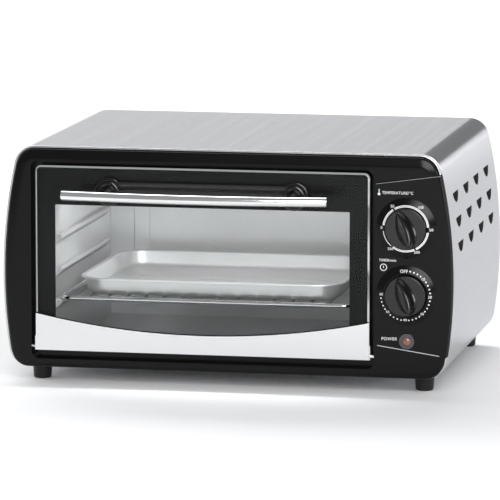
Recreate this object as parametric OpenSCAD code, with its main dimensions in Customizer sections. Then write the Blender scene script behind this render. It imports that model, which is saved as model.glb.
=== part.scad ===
// Mini toaster oven with a drop-down glass door, two dials, a wire rack and a baking tray.
// X runs across the front, Y runs from the front to the back, Z is up.
// The origin is on the worktop, below the middle of the whole oven with its handle.

/* [Body] */
// Width across the widest part of the bulged sides
body_w = 388; // [372:1:470]
// Height from the lower edge of the front frame to the top of the wrap
body_h = 190; // [184:1:240]
// Depth from the face of the front frame to the rear panel
body_d = 280; // [230:1:340]
// Radius of the bulged sides
side_r = 435; // [360:5:600]
// Height of the widest point above the lower edge of the frame
belly_z = 80; // [65:1:100]
// Radius of the two upper corners
top_r = 18; // [12:1:24]
// Radius of the two lower corners
bottom_r = 17; // [12:1:22]

/* [Sheet metal] */
// Thickness of the outer wrap
wrap_t = 1; // [0.6:0.1:1.6]
// Thickness of the rolled hem along the front edge of the wrap
hem_t = 2.2; // [1.6:0.1:3]
// Length of the hem along the depth
hem_l = 3; // [2:0.5:6]
// Distance from the face of the front frame back to the hem
hem_back = 4; // [2:0.5:8]
// Width of the flanges that the wrap turns in at its bottom and its rear
flange_w = 12; // [9:1:16]
// Thickness of the rear panel and of the base plate
plate_t = 1; // [0.8:0.1:2]
// Thickness of the oven liner
liner_t = 1; // [0.6:0.1:1.6]

/* [Louvres] */
// Length of a side louvre
louvre_l = 30; // [20:1:36]
// Height of a side louvre
louvre_h = 9; // [6:0.5:12]
// Louvres in a row
louvre_n = 4; // [2:1:5]
// Rows of louvres
louvre_rows = 3; // [1:1:4]
// Height of the top row above the lower edge of the frame
louvre_top_z = 153; // [120:1:155]
// Distance between the rows
louvre_row_pitch = 21; // [16:1:26]

/* [Front frame] */
// Depth of the front frame
frame_d = 16; // [14:1:22]
// Wall thickness of the hollow front frame
frame_wall = 2.5; // [2:0.1:4]
// Margin between the outside of the body and the door recess, on the left
margin_side = 25.6; // [20:0.2:34]
// Margin above the door recess
margin_top = 12.2; // [9:0.2:18]
// Margin below the door recess
margin_bottom = 7.5; // [6:0.5:12]
// Width of the control side, from the door recess to the outside of the body
panel_w = 66; // [62:1:80]
// Depth of the door recess
recess_d = 10; // [9:0.5:12]
// Thickness of the control panel that lies on the frame
panel_t = 2; // [1.6:0.1:3]
// Depth of the panel's skirt round the right-hand edge
skirt_d = 10; // [7:0.5:13]

/* [Dials] */
// Distance from the dial centres to the outside of the body
dial_inset = 38.5; // [36:0.5:42]
// Height of the middle between the two dials above the middle of the frame
dial_rise = 5; // [0:0.5:8]
// Distance between the two dial centres
dial_pitch = 56.8; // [54:0.2:62]
// Outer radius of a raised dial surround
surround_r = 25.7; // [22:0.1:27]
// Height of a dial surround above the panel
surround_h = 3; // [1.5:0.1:4]
// Radius of a knob
knob_r = 17.4; // [14:0.1:19]
// Thickness of a knob's round base
knob_base = 5; // [3:0.5:7]
// Height of the grip on a knob
grip_h = 11; // [7:0.5:15]
// Width of the grip on a knob
grip_w = 13; // [8:0.5:16]
// Lean of the knob grips from upright, to the left
grip_lean = 20; // [0:1:45]
// Diameter of the dial shafts
shaft_d = 6; // [5:0.1:7]

/* [Power lamp] */
// Height of the power lamp above the lower edge of the frame
lamp_z = 32.7; // [30:0.1:34]
// Diameter of the lamp's rim
lamp_d = 13; // [9:0.5:15]

/* [Door] */
// Gap round the top and the sides of the door
door_gap = 4; // [3:0.1:6]
// Gap below the door
door_gap_low = 7.7; // [7:0.1:10]
// Thickness of the door glass
glass_t = 4; // [3:0.5:5]
// Corner radius of the door glass
glass_r = 5; // [3:0.5:8]
// Distance that the glass stands out of the front frame
glass_proud = 0.5; // [0.2:0.1:1.5]
// Sheet thickness of the steel strip along the lower edge of the door
strip_t = 0.8; // [0.6:0.1:1.2]
// Height of the steel strip at the two ends of the door
strip_end_h = 31.8; // [26:0.2:38]
// Height of the steel strip in the middle of the door
strip_mid_h = 16.3; // [14:0.1:22]
// Height of the strip's rear leg, inside the door
strip_back_h = 9; // [7:0.5:12]
// Diameter of the hinge pins
pin_d = 4; // [3:0.1:4.6]
// Height of the hinge axis above the lower edge of the door
hinge_up = 2.3; // [2.2:0.1:3]
// Distance from the face of the front frame back to the hinge axis
hinge_back = 5.5; // [5.4:0.1:6.5]

/* [Handle] */
// Length of the handle tube
handle_l = 226; // [190:1:240]
// Outer diameter of the handle tube
handle_d = 8; // [6:0.5:10]
// Wall thickness of the handle tube
handle_wall = 1; // [0.6:0.1:1.4]
// Distance that the middle of the tube bows out beyond its ends
handle_bow = 9; // [4:0.5:14]
// Distance from the glass to the axis of the tube at its middle
handle_out = 41; // [34:0.5:46]
// Distance between the two handle posts
post_pitch = 160; // [130:1:180]
// Diameter of the handle posts
post_d = 12; // [10:0.5:14]
// Diameter of the discs under the posts
disc_d = 24.5; // [20:0.5:26]
// Distance from the top of the door down to the handle
handle_drop = 21; // [18:0.5:24]

/* [Oven space] */
// Overlap of the door over the sides of the opening
lip_side = 12; // [9:0.5:14]
// Overlap of the door over the top of the opening
lip_top = 10; // [8:0.5:12]
// Overlap of the door over the bottom of the opening
lip_low = 7; // [5:0.5:9]
// Height of the oven floor above the lower edge of the frame
floor_z = 11; // [9:0.5:13]
// Height of the oven roof above the opening
head_room = 2; // [0:0.5:4]
// Space between the oven liner and the rear panel
rear_space = 46; // [38:1:60]
// Height of the first pair of side rails above the oven floor, to their upper faces
rail_first = 44.5; // [40:0.5:50]
// Distance between the pairs of side rails
rail_pitch = 28; // [24:1:32]
// Distance that the rails stand out of the side walls
rail_reach = 5; // [4:0.5:6]
// Diameter of the heating elements
heater_d = 6.5; // [5:0.1:8]

/* [Rack and tray] */
// Gap between the rack and the side walls
rack_gap = 2.5; // [1.5:0.1:3]
// Diameter of the rack's frame wire
rack_d = 4; // [3:0.1:5]
// Diameter of the rack's cross wires
cross_d = 2.6; // [2:0.1:3]
// Distance between the cross wires
cross_pitch = 16; // [12:1:22]
// Gap between the tray and the side walls
tray_gap = 16.5; // [12:0.5:24]
// Height of the tray
tray_h = 15; // [12:0.5:22]
// Sheet thickness of the tray
tray_t = 1; // [0.8:0.1:1.4]
// Corner radius of the tray's wall
tray_r = 22; // [14:1:28]
// Width of the tray's rim
rim_w = 4; // [3:0.5:6]

/* [Feet] */
// Height of the feet
foot_h = 14; // [10:0.5:20]
// Diameter of the feet at the top
foot_d = 17; // [14:0.5:18]
// Distance from the feet's centres to the outside of the body
foot_inset = 27.5; // [26.5:0.5:31]
// Distance of the front feet from the face of the front frame
foot_front = 31; // [26:1:40]
// Distance of the rear feet from the rear panel
foot_rear = 12; // [11:1:24]

/* [Hidden] */

$fn = 48;
corner_steps = 8;
side_steps = 14;
eps = 0.01;
fit = 0.15;
running = 0.05;
hole_play = 0.1;
plastic = "#1a1a1c";
steel = "#c9cbce";
liner_steel = "#b9bbbd";
aluminium = "#d8d9db";

// The oven's box, handle and cord gland included, is centred on the origin
gland_out = 8;
strip_front = glass_proud + strip_t;
handle_reach = glass_proud + handle_out + handle_d / 2;
face_y = (handle_reach - body_d - gland_out) / 2;
half_w = body_w / 2;

// Front frame, door recess and door
frame_inset = hem_t + fit;
recess_x0 = -half_w + margin_side;
recess_x1 = half_w - panel_w;
recess_z0 = margin_bottom;
recess_z1 = body_h - margin_top;
door_x0 = recess_x0 + door_gap;
door_x1 = recess_x1 - door_gap;
door_z0 = recess_z0 + door_gap_low;
door_z1 = recess_z1 - door_gap;
door_w = door_x1 - door_x0;
door_x = (door_x0 + door_x1) / 2;
glass_y0 = -glass_proud;
glass_y1 = glass_t - glass_proud;
glass_z0 = door_z0 + strip_t;
hinge_z = door_z0 + hinge_up;
open_x0 = door_x0 + lip_side;
open_x1 = door_x1 - lip_side;
open_z0 = door_z0 + lip_low;
open_z1 = door_z1 - lip_top;

// Hinge hardware
bracket_t = 0.8;
bearing_w = 8.6;
bearing_l = 7;
pin_l = door_gap - bracket_t + bearing_l - 1;

// Control panel, dials and lamp
panel_rise_low = 9.6;
panel_low_z = 18.3;
panel_top_in = 24.3;
panel_top_out = 15;
panel_x0 = recess_x1 + 1;
dial_x = half_w - dial_inset;
dial_mid_z = body_h / 2 + dial_rise;
temp_z = dial_mid_z + dial_pitch / 2;
timer_z = dial_mid_z - dial_pitch / 2;
lamp_x = dial_x + 1;
well_gap = 0.9;
well_r = knob_r + well_gap;
knob_lift = 1.2;
knob_back_y = -panel_t - knob_lift;
knob_face_y = knob_back_y - knob_base;
knob_top_y = knob_face_y - grip_h;
plate_y = 3 + fit;
mount_t = 1.2;
control_y = plate_y + mount_t;
bush_d = 9.6;
screw_d = 3;
screw_up = 11;
screw_head_d = 5.6;
screw_head_h = 1.3;
front_wall = 3;

// Handle
handle_z = door_z1 - handle_drop;
disc_t = 4;
bow_r = (pow(handle_l / 2, 2) + pow(handle_bow, 2)) / (2 * handle_bow);
bow_y = glass_y0 - handle_out;
post_screw_d = 4;
post_screw_l = 18;

// Oven liner
cav_x0 = open_x0;
cav_x1 = open_x1;
cav_z0 = floor_z;
cav_z1 = open_z1 + head_room;
cav_y0 = frame_d;
cav_y1 = body_d - rear_space;
rail_h = 9;
rail_levels = 3;
rail_y0 = cav_y0 + 8;
rail_y1 = cav_y1 - 24;
rail_top_z = cav_z0 + rail_first;
upper_heater_y = cav_y0 + 94;
lower_heater_y = cav_y0 + 60;
upper_heater_z = cav_z1 - 15;
lower_heater_z = cav_z0 + 5.6;
heater_past = 9;
terminal_past = 8;
terminal_d = 2.4;
ceramic_d = 13;
ceramic_flange = 3;
ceramic_neck_d = 10;

// Rack and tray
rack_x0 = cav_x0 + rack_gap;
rack_x1 = cav_x1 - rack_gap;
rack_y0 = cav_y0 + 2;
rack_y1 = cav_y1 - 12;
rack_z = rail_top_z + rack_d / 2;
rack_r = 12;
cross_n = floor((rack_x1 - rack_x0 - 2 * rack_r) / cross_pitch);
tray_x0 = cav_x0 + tray_gap;
tray_x1 = cav_x1 - tray_gap;
tray_y0 = rack_y0 + 6;
tray_y1 = rack_y1 - 18;
tray_z = rack_z + rack_d / 2;
rib_h = 1.2;
rib_w = 7;

// Wrap, base and feet
flange_x = half_w - foot_inset - foot_d / 2;
foot_x = half_w - foot_inset;
foot_rear_y = body_d - foot_rear;
foot_screw_d = 4;
foot_screw_head = 7.6;
foot_tip = 2;
foot_taper = 0.8;
rear_screw_d = 3;
rear_screw_in = 7;
gland_x = half_w - 44;
gland_z = 34;
gland_hole_d = 12;
cord_hole_d = 6.6;
louvre_first = 56;
louvre_last = 50;
louvre_sink = 20;

// ---- outlines ----

function arc(cx, cz, r, a0, a1, n) =
    [for (i = [0:n]) let (a = a0 + (a1 - a0) * i / n) [cx + r * cos(a), cz + r * sin(a)]];

function flip(points) = [for (i = [len(points) - 1:-1:0]) [-points[i][0], points[i][1]]];

// Right half of the barrel-shaped section, inset all round, with its lower edge at low
function half_outline(inset, low) =
    let (
        r = side_r - inset,
        cx = half_w - side_r,
        rt = top_r - inset,
        zt = body_h - inset - rt,
        xt = cx + sqrt(pow(r - rt, 2) - pow(zt - belly_z, 2)),
        rb = bottom_r - inset,
        zb = low + rb,
        xb = cx + sqrt(pow(r - rb, 2) - pow(zb - belly_z, 2)),
        at = atan2(zt - belly_z, xt - cx),
        ab = atan2(zb - belly_z, xb - cx)
    )
    concat(
        arc(xb, zb, rb, -90, ab, corner_steps),
        arc(cx, belly_z, r, ab * (1 - 1 / side_steps), 0, floor(side_steps / 2)),
        arc(cx, belly_z, r, at / side_steps, at * (1 - 1 / side_steps), side_steps - 2),
        arc(xt, zt, rt, at, 90, corner_steps)
    );

module outline(inset, low = 0) {
    half = half_outline(inset, low);
    polygon(concat(half, flip(half)));
}

// Extrudes an XZ drawing along Y, from y0 to y1
module along_y(y0, y1) {
    translate([0, y1, 0]) rotate([90, 0, 0]) linear_extrude(y1 - y0) children();
}

module box(x0, x1, y0, y1, z0, z1) {
    translate([x0, y0, z0]) cube([x1 - x0, y1 - y0, z1 - z0]);
}

// A round bar or hole along Y, from y0 to y1
module rod_y(x, z, d, y0, y1) {
    translate([x, y1, z]) rotate([90, 0, 0]) cylinder(h = y1 - y0, d = d);
}

module rod_x(y, z, d, x0, x1) {
    translate([x0, y, z]) rotate([0, 90, 0]) cylinder(h = x1 - x0, d = d);
}

module rounded_rect(x0, x1, y0, y1, r) {
    translate([x0 + r, y0]) square([x1 - x0 - 2 * r, y1 - y0]);
    translate([x0, y0 + r]) square([x1 - x0, y1 - y0 - 2 * r]);
    for (x = [x0 + r, x1 - r], y = [y0 + r, y1 - r]) translate([x, y]) circle(r);
}

// Puts a piece drawn from the face and the lower edge of the frame where the oven stands
module place() {
    translate([0, face_y, foot_h]) children();
}

// ---- outer casing ----

// One louvre at the origin: the sheet's outer face is at x = 0 and the slot's straight edge at z = 0
louvre_r = (pow(louvre_l / 2, 2) + pow(louvre_h, 2)) / (2 * louvre_h);
louvre_ball = sqrt(pow(louvre_r, 2) + pow(louvre_sink, 2));

module louvre_slot() {
    intersection() {
        rod_x(0, louvre_r - louvre_h, 2 * louvre_r, -3 * wrap_t, 3 * wrap_t);
        box(-4 * wrap_t, 4 * wrap_t, -louvre_l, louvre_l, -2 * louvre_h, 0);
    }
}

module louvre_scoop() {
    intersection() {
        translate([louvre_sink, 0, louvre_r - louvre_h]) difference() {
            sphere(louvre_ball + wrap_t);
            sphere(louvre_ball);
        }
        box(-3 * louvre_h, -wrap_t / 2, -louvre_l, louvre_l, -louvre_h - 1, 0);
    }
}

module on_side(z, y) {
    a = asin((z - belly_z) / side_r);
    translate([half_w - side_r + side_r * cos(a), y, belly_z + side_r * sin(a)])
        rotate([0, -a, 0]) children();
}

module louvres() {
    pitch = (body_d - louvre_first - louvre_last) / (louvre_n - 1);
    for (row = [0:louvre_rows - 1], i = [0:louvre_n - 1])
        on_side(louvre_top_z - row * louvre_row_pitch, louvre_first + i * pitch) children();
}

module panel_shape(play = 0) {
    polygon([
        [panel_x0 - play, panel_low_z + panel_rise_low - play],
        [half_w + 1, panel_low_z - play],
        [half_w + 1, body_h - panel_top_out + play],
        [panel_x0 - play, body_h - panel_top_in + play]
    ]);
}

rear_screw_spots = [
    for (side = [-1, 1]) [side * (half_w - 60), body_h - wrap_t - rear_screw_in],
    for (side = [-1, 1], z = [belly_z - 24, belly_z + 24]) [side * (half_w - wrap_t - rear_screw_in - 0.8), z]
];

module feet_spots() {
    for (x = [-foot_x, foot_x], y = [foot_front, foot_rear_y]) translate([x, y, 0]) children();
}

module outer_wrap() {
    color(steel) place() {
        difference() {
            union() {
                along_y(hem_back, body_d) difference() {
                    outline(0);
                    outline(wrap_t, wrap_t);
                }
                along_y(hem_back, hem_back + hem_l) difference() {
                    outline(0);
                    outline(hem_t, -hem_t);
                }
                along_y(body_d - plate_t - fit - wrap_t, body_d - plate_t - fit) difference() {
                    outline(wrap_t / 2, wrap_t / 2);
                    outline(wrap_t + flange_w, 0);
                }
            }
            box(-flange_x, flange_x, -1, body_d + 1, -1, flange_w / 2);
            along_y(0, skirt_d + fit) panel_shape(fit);
            louvres() louvre_slot();
            for (s = rear_screw_spots)
                rod_y(s[0], s[1], rear_screw_d + 2 * hole_play, body_d - 4, body_d + 1);
            feet_spots() cylinder(h = 8, d = foot_screw_d + 2 * hole_play, center = true);
        }
        louvres() louvre_scoop();
    }
}

module rear_panel() {
    slot_w = 3.4;
    slot_h = 20;
    slot_pitch = 11;
    slot_n = floor((cav_x1 - cav_x0 - 60) / slot_pitch);
    color(steel) place() difference() {
        along_y(body_d - plate_t, body_d) outline(wrap_t + fit, wrap_t + fit);
        for (i = [0:slot_n - 1], z = [body_h * 0.3, body_h * 0.62])
            along_y(body_d - plate_t - 1, body_d + 1)
                rounded_rect(
                    cav_x0 + 30 + i * slot_pitch, cav_x0 + 30 + i * slot_pitch + slot_w,
                    z, z + slot_h, slot_w / 2 - eps
                );
        rod_y(gland_x, gland_z, gland_hole_d + 2 * hole_play, body_d - 4, body_d + 1);
        for (s = rear_screw_spots)
            rod_y(s[0], s[1], rear_screw_d + 2 * hole_play, body_d - 4, body_d + 1);
    }
}

module base_plate() {
    slot_n = 7;
    slot_l = 40;
    base_x = foot_x + 5.5;
    color(liner_steel) place() difference() {
        box(-base_x, base_x, frame_d + fit, body_d - plate_t - wrap_t - 2 * fit, wrap_t, wrap_t + plate_t);
        for (i = [0:slot_n - 1], y = [body_d * 0.32, body_d * 0.62])
            translate([door_x + (i - (slot_n - 1) / 2) * 24, y, 0])
                linear_extrude(6) rounded_rect(-2, 2, 0, slot_l, 1.9);
        feet_spots() cylinder(h = 8, d = foot_screw_d + 2 * hole_play, center = true);
    }
}

module rear_screws() {
    color("silver") place() for (s = rear_screw_spots) {
        rod_y(s[0], s[1], rear_screw_d, body_d - 6, body_d + eps);
        difference() {
            rod_y(s[0], s[1], 2 * rear_screw_d, body_d, body_d + 1.8);
            rod_y(s[0], s[1], 1.2, body_d + 0.8, body_d + 2);
        }
    }
}

module foot() {
    foot_r = foot_d / 2;
    low_r = foot_r - foot_taper;
    color(plastic) difference() {
        rotate_extrude() polygon(concat(
            [[0, 0]],
            arc(low_r - foot_tip, foot_tip, foot_tip, -90, 0, 6),
            [[foot_r, foot_h], [0, foot_h]]
        ));
        translate([0, 0, -1]) cylinder(h = 7, d = foot_screw_head + 0.8);
        cylinder(h = foot_h + 1, d = foot_screw_d + 2 * hole_play);
    }
}

module foot_at(side, y) {
    translate([side * foot_x, face_y + y, 0]) foot();
}

module foot_screws() {
    nut_z = foot_h + wrap_t + plate_t;
    color("silver") translate([0, face_y, 0]) feet_spots() {
        translate([0, 0, 3]) cylinder(h = 3, d = foot_screw_head);
        translate([0, 0, 6 - eps]) cylinder(h = nut_z - 1, d = foot_screw_d);
        translate([0, 0, nut_z]) cylinder(h = 3, d = 8, $fn = 6);
    }
}

// ---- front frame and controls ----

// Room under a lower corner of the frame for the flange of the casing
module flange_rebate(side) {
    difference() {
        translate([side < 0 ? -half_w : flange_x - fit, -1])
            square([half_w - flange_x + fit, bottom_r]);
        outline(wrap_t + fit, wrap_t + fit);
    }
}

// The front frame is a hollow black moulding with a rolled outer edge and a deep door recess
module front_frame() {
    roll = [[0, 1.2, 3.4], [1.2, 2.6, 1.2], [2.6, frame_d, 0]];
    color(plastic) place() difference() {
        for (r = roll) along_y(r[0], r[1]) outline(frame_inset + r[2], r[2] / 2);
        along_y(front_wall, frame_d + 1) difference() {
            outline(frame_inset + frame_wall, frame_wall);
            translate([recess_x0 - frame_wall, -1])
                square([recess_x1 - recess_x0 + 2 * frame_wall, body_h + 2]);
        }
        along_y(front_wall, frame_d + 1)
            translate([recess_x0 + frame_wall, recess_z1 + frame_wall])
            square([recess_x1 - recess_x0 - 2 * frame_wall, margin_top - frame_inset - 2 * frame_wall]);
        along_y(-1, recess_d) rounded_rect(recess_x0, recess_x1, recess_z0, recess_z1, glass_r + 1);
        along_y(-1, frame_d + 1) rounded_rect(open_x0, open_x1, open_z0, open_z1, 4);
        for (z = [temp_z, timer_z]) {
            rod_y(dial_x, z, bush_d + 1, -1, 6);
            for (up = [-screw_up, screw_up]) rod_y(dial_x, z + up, screw_d + 2 * hole_play, -1, 6);
        }
        rod_y(lamp_x, lamp_z, 9.4, -1, 6);
        for (side = [-1, 1]) {
            bearing_shape(side, fit);
            along_y(hem_back - fit, frame_d + 1) flange_rebate(side);
        }
    }
}

module control_panel() {
    layers = [[-panel_t, -panel_t + 0.7, 3], [-panel_t + 0.7, -panel_t + 1.5, 1.2], [-panel_t + 1.5, 0, 0]];
    color(plastic) place() difference() {
        union() {
            for (l = layers) along_y(l[0], l[1]) intersection() {
                outline(l[2]);
                panel_shape();
            }
            along_y(0, skirt_d) intersection() {
                difference() {
                    outline(0);
                    outline(hem_t, -hem_t);
                }
                panel_shape();
            }
            for (z = [temp_z, timer_z]) translate([dial_x, -panel_t, z]) rotate([90, 0, 0])
                cylinder(h = surround_h, r1 = surround_r, r2 = well_r + 0.8);
        }
        for (z = [temp_z, timer_z]) {
            rod_y(dial_x, z, 2 * well_r, -panel_t - surround_h - 1, -panel_t);
            rod_y(dial_x, z, bush_d + 1, -panel_t - 1, 1);
            for (up = [-screw_up, screw_up]) {
                rod_y(dial_x, z + up, screw_d + 2 * hole_play, -panel_t - 1, 1);
                rod_y(dial_x, z + up, screw_head_d + 2 * hole_play, -panel_t - 1, -panel_t + screw_head_h);
            }
        }
        rod_y(lamp_x, lamp_z, 9.4, -panel_t - 1, 1);
    }
}

module mount_plate() {
    color(steel) place() difference() {
        along_y(plate_y, plate_y + mount_t) difference() {
            intersection() {
                outline(frame_inset + frame_wall + 2, 0);
                translate([recess_x1 + frame_wall + 1, timer_z - 27]) square([panel_w, dial_pitch + 54]);
            }
        }
        for (z = [temp_z, timer_z]) {
            rod_y(dial_x, z, bush_d + 2 * hole_play, 0, 8);
            for (up = [-screw_up, screw_up]) rod_y(dial_x, z + up, screw_d + 2 * hole_play, 0, 8);
        }
    }
}

// Body of a control, with a bush for its shaft and two screw holes
module control_body(z, w, h, d, low) {
    place() difference() {
        union() {
            box(dial_x - w / 2, dial_x + w / 2, control_y, control_y + d, z - low, z - low + h);
            rod_y(dial_x, z, bush_d, 0.5, control_y + 1);
        }
        rod_y(dial_x, z, shaft_d + 2 * running, -1, control_y + d - 4);
        for (up = [-screw_up, screw_up])
            rod_y(dial_x, z + up, screw_d + 2 * hole_play, control_y - 1, control_y + 8);
    }
}

module thermostat_body() {
    color("#d9d4c5") control_body(temp_z, 32, 34, 22, 17);
    color("silver") place()
        for (x = [-9, 9]) box(dial_x + x - 0.4, dial_x + x + 0.4, control_y + 22, control_y + 30, temp_z - 3, temp_z + 3);
}

module timer_body() {
    color("#e6e6e6") control_body(timer_z, 46, 46, 34, 23);
    color("silver") place()
        for (x = [-14, 14]) box(dial_x + x - 0.4, dial_x + x + 0.4, control_y + 34, control_y + 42, timer_z - 15, timer_z - 9);
}

module timer_bell() {
    bell_r = 17;
    bell_y = control_y + 34;
    color("silver") place() translate([dial_x, bell_y, timer_z + 4]) rotate([-90, 0, 0]) rotate_extrude() {
        translate([0, 0]) square([3, 6]);
        translate([0, 5.2]) square([bell_r - 4, 0.8]);
        translate([bell_r - 0.8, 1]) square([0.8, 2]);
        polygon(concat(
            arc(bell_r - 4, 2, 4, 0, 90, 6),
            arc(bell_r - 4, 2, 3.2, 90, 0, 6)
        ));
    }
}

module control_screws() {
    head_y = -panel_t + screw_head_h;
    color("silver") place() for (z = [temp_z, timer_z], up = [-screw_up, screw_up]) {
        rod_y(dial_x, z + up, screw_head_d, -panel_t, head_y);
        rod_y(dial_x, z + up, screw_d, head_y - eps, control_y + 7);
    }
}

// Knob with a leaf-shaped grip; its shaft goes through the panel into the control behind it
module knob(z) {
    leaf_r = (pow(knob_r, 2) + pow(grip_w / 2, 2)) / grip_w;
    color(plastic) place() translate([dial_x, 0, z]) rotate([0, -grip_lean, 0]) difference() {
        union() {
            along_y(knob_face_y, knob_back_y) circle(knob_r);
            along_y(knob_top_y, knob_face_y + eps) intersection() {
                translate([leaf_r - grip_w / 2, 0]) circle(leaf_r, $fn = 96);
                translate([grip_w / 2 - leaf_r, 0]) circle(leaf_r, $fn = 96);
                circle(knob_r - 0.6);
            }
        }
        rod_y(0, 0, shaft_d + 2 * running, knob_face_y - 6, 0);
    }
}

module shaft(z, inner_l) {
    color("silver") place() rod_y(dial_x, z, shaft_d, knob_face_y - 5.5, control_y + inner_l);
}

module lamp_rim() {
    color("#3a3a3e") place() difference() {
        union() {
            rod_y(lamp_x, lamp_z, lamp_d, -panel_t - 2, -panel_t);
            rod_y(lamp_x, lamp_z, 9.2, -panel_t - eps, 14);
        }
        rod_y(lamp_x, lamp_z, 7.4, -panel_t - 3, 15);
    }
}

module lamp_lens() {
    color("#8a4a3c") place() {
        rod_y(lamp_x, lamp_z, 7.2, -panel_t - 1.6, 12);
        intersection() {
            translate([lamp_x, -panel_t + 2.4, lamp_z]) sphere(5.4);
            rod_y(lamp_x, lamp_z, 7.2, -panel_t - 4, -panel_t);
        }
    }
}

// ---- oven liner and heaters ----

module heater_holes(side_x) {
    rod_x(upper_heater_y, upper_heater_z, ceramic_neck_d + 2 * hole_play, side_x - 3, side_x + 3);
    rod_x(lower_heater_y, lower_heater_z, ceramic_neck_d + 2 * hole_play, side_x - 3, side_x + 3);
}

// Side wall with its pressed rails; side is -1 on the left and 1 on the right
module liner_side(side) {
    wall_x = side < 0 ? cav_x0 : cav_x1;
    inner = wall_x - side * rail_reach;
    color(liner_steel) place() difference() {
        union() {
            box(min(wall_x, wall_x + side * liner_t), max(wall_x, wall_x + side * liner_t),
                cav_y0, cav_y1, cav_z0, cav_z1);
            for (i = [0:rail_levels - 1]) {
                top_z = rail_top_z + i * rail_pitch;
                along_y(rail_y0, rail_y1) polygon([
                    [wall_x + side * liner_t / 2, top_z], [inner + side, top_z],
                    [inner, top_z - 1], [inner, top_z - 3.4],
                    [wall_x + side * liner_t / 2, top_z - rail_h]
                ]);
            }
        }
        heater_holes(wall_x);
    }
}

module liner_roof() {
    color(liner_steel) place()
        box(cav_x0 - liner_t, cav_x1 + liner_t, cav_y0, cav_y1, cav_z1, cav_z1 + liner_t);
}

module liner_floor() {
    color(liner_steel) place()
        box(cav_x0 - liner_t, cav_x1 + liner_t, cav_y0, cav_y1, cav_z0 - liner_t, cav_z0);
}

// Back wall with two pressed upright beads
module liner_back() {
    bead_in = 22;
    bead_w = 14;
    bead_h = 1.6;
    color(liner_steel) place() {
        box(cav_x0 - liner_t, cav_x1 + liner_t, cav_y1, cav_y1 + liner_t, cav_z0 - liner_t, cav_z1 + liner_t);
        for (x = [cav_x0 + bead_in, cav_x1 - bead_in - bead_w])
            box(x, x + bead_w, cav_y1 - bead_h, cav_y1 + liner_t / 2, cav_z0 + 8, cav_z1 - 8);
    }
}

module heater(y, z) {
    x0 = cav_x0 - heater_past;
    x1 = cav_x1 + heater_past;
    color("#8f8b86") place() rod_x(y, z, heater_d, x0, x1);
    color("silver") place() for (x = [x0 - terminal_past, x1 - eps])
        rod_x(y, z, terminal_d, x, x + terminal_past + eps);
}

module heater_insulators() {
    color("#e9e4d8") place()
        for (p = [[upper_heater_y, upper_heater_z], [lower_heater_y, lower_heater_z]], side = [-1, 1]) {
            wall_x = side < 0 ? cav_x0 - liner_t : cav_x1 + liner_t;
            translate([wall_x, p[0], p[1]]) rotate([0, side * 90, 0]) difference() {
                union() {
                    cylinder(h = ceramic_flange, d = ceramic_d);
                    translate([0, 0, -liner_t - 0.6]) cylinder(h = liner_t + 1.6, d = ceramic_neck_d);
                }
                translate([0, 0, -6]) cylinder(h = 14, d = heater_d + 2 * hole_play);
            }
        }
}

// ---- mains inlet and wiring ----

module inlet_gland() {
    color(plastic) place() difference() {
        union() {
            rod_y(gland_x, gland_z, gland_hole_d + 6, body_d, body_d + 3);
            rod_y(gland_x, gland_z, gland_hole_d, body_d - 8, body_d + eps);
            translate([gland_x, body_d + 3 - eps, gland_z]) rotate([-90, 0, 0])
                cylinder(h = gland_out - 3 + eps, d1 = gland_hole_d, d2 = cord_hole_d + 3);
        }
        rod_y(gland_x, gland_z, cord_hole_d, body_d - 9, body_d + gland_out + 1);
    }
}

block_x = gland_x - 8;
block_y = body_d - 72;

module terminal_block() {
    ways = 3;
    way_w = 10;
    color("#efece2") place() difference() {
        box(block_x, block_x + ways * way_w, block_y, block_y + 20, wrap_t + plate_t, 18);
        for (i = [0:ways - 1]) rod_y(block_x + (i + 0.5) * way_w, 10, 4, block_y - 1, block_y + 21);
    }
}

module wire(points, d = 2.4) {
    for (i = [0:len(points) - 2]) hull() {
        translate(points[i]) sphere(d = d, $fn = 8);
        translate(points[i + 1]) sphere(d = d, $fn = 8);
    }
}

// Four leads from the terminal block to the timer, the thermostat, the lamp and the heaters
module wiring() {
    start_y = block_y - 1.5;
    lead = block_x + 5;
    heater_x = cav_x1 + heater_past + terminal_past + 1.5;
    color("#b23a2e") place() {
        wire([[lead, start_y, 10], [lead, start_y - 30, 10], [dial_x - 14, control_y + 60, timer_z - 30],
              [dial_x - 14, control_y + 44, timer_z - 12]]);
        wire([[lead + 10, start_y, 10], [lead + 18, start_y - 40, 14], [dial_x + 26, control_y + 70, timer_z],
              [dial_x + 9, control_y + 50, temp_z - 8], [dial_x + 9, control_y + 32, temp_z]]);
        wire([[lead + 20, start_y, 10], [lead + 20, start_y - 60, 8], [lamp_x, 40, lamp_z - 18],
              [lamp_x, 16.5, lamp_z]]);
        wire([[dial_x - 9, control_y + 32, temp_z], [dial_x - 9, control_y + 60, temp_z + 20],
              [heater_x + 4, upper_heater_y - 10, upper_heater_z], [heater_x, upper_heater_y, upper_heater_z]]);
    }
}

// ---- door ----

// Bearing block in the side of the recess; side is -1 on the left and 1 on the right
module bearing_shape(side, play = 0) {
    x = side < 0 ? recess_x0 : recess_x1;
    box(min(x, x + side * bearing_l) - play * 2, max(x, x + side * bearing_l) + play * 2,
        hinge_back - bearing_w / 2 - play, hinge_back + bearing_w / 2 + play,
        hinge_z - bearing_w / 2 - play, hinge_z + bearing_w / 2 + play);
}

module hinge_bearing(side) {
    color("#4a4a4d") place() difference() {
        bearing_shape(side);
        rod_x(hinge_back, hinge_z, pin_d + 2 * running, -body_w, body_w);
    }
}

module handle_spots() {
    for (side = [-1, 1]) translate([door_x + side * post_pitch / 2, 0, handle_z]) children();
}

module door_glass() {
    color("#bcd0d0", 0.35) place() difference() {
        along_y(glass_y0, glass_y1) rounded_rect(door_x0, door_x1, glass_z0, door_z1, glass_r);
        handle_spots() rod_y(0, 0, post_screw_d + 2 * hole_play, -5, 8);
    }
}

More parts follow.
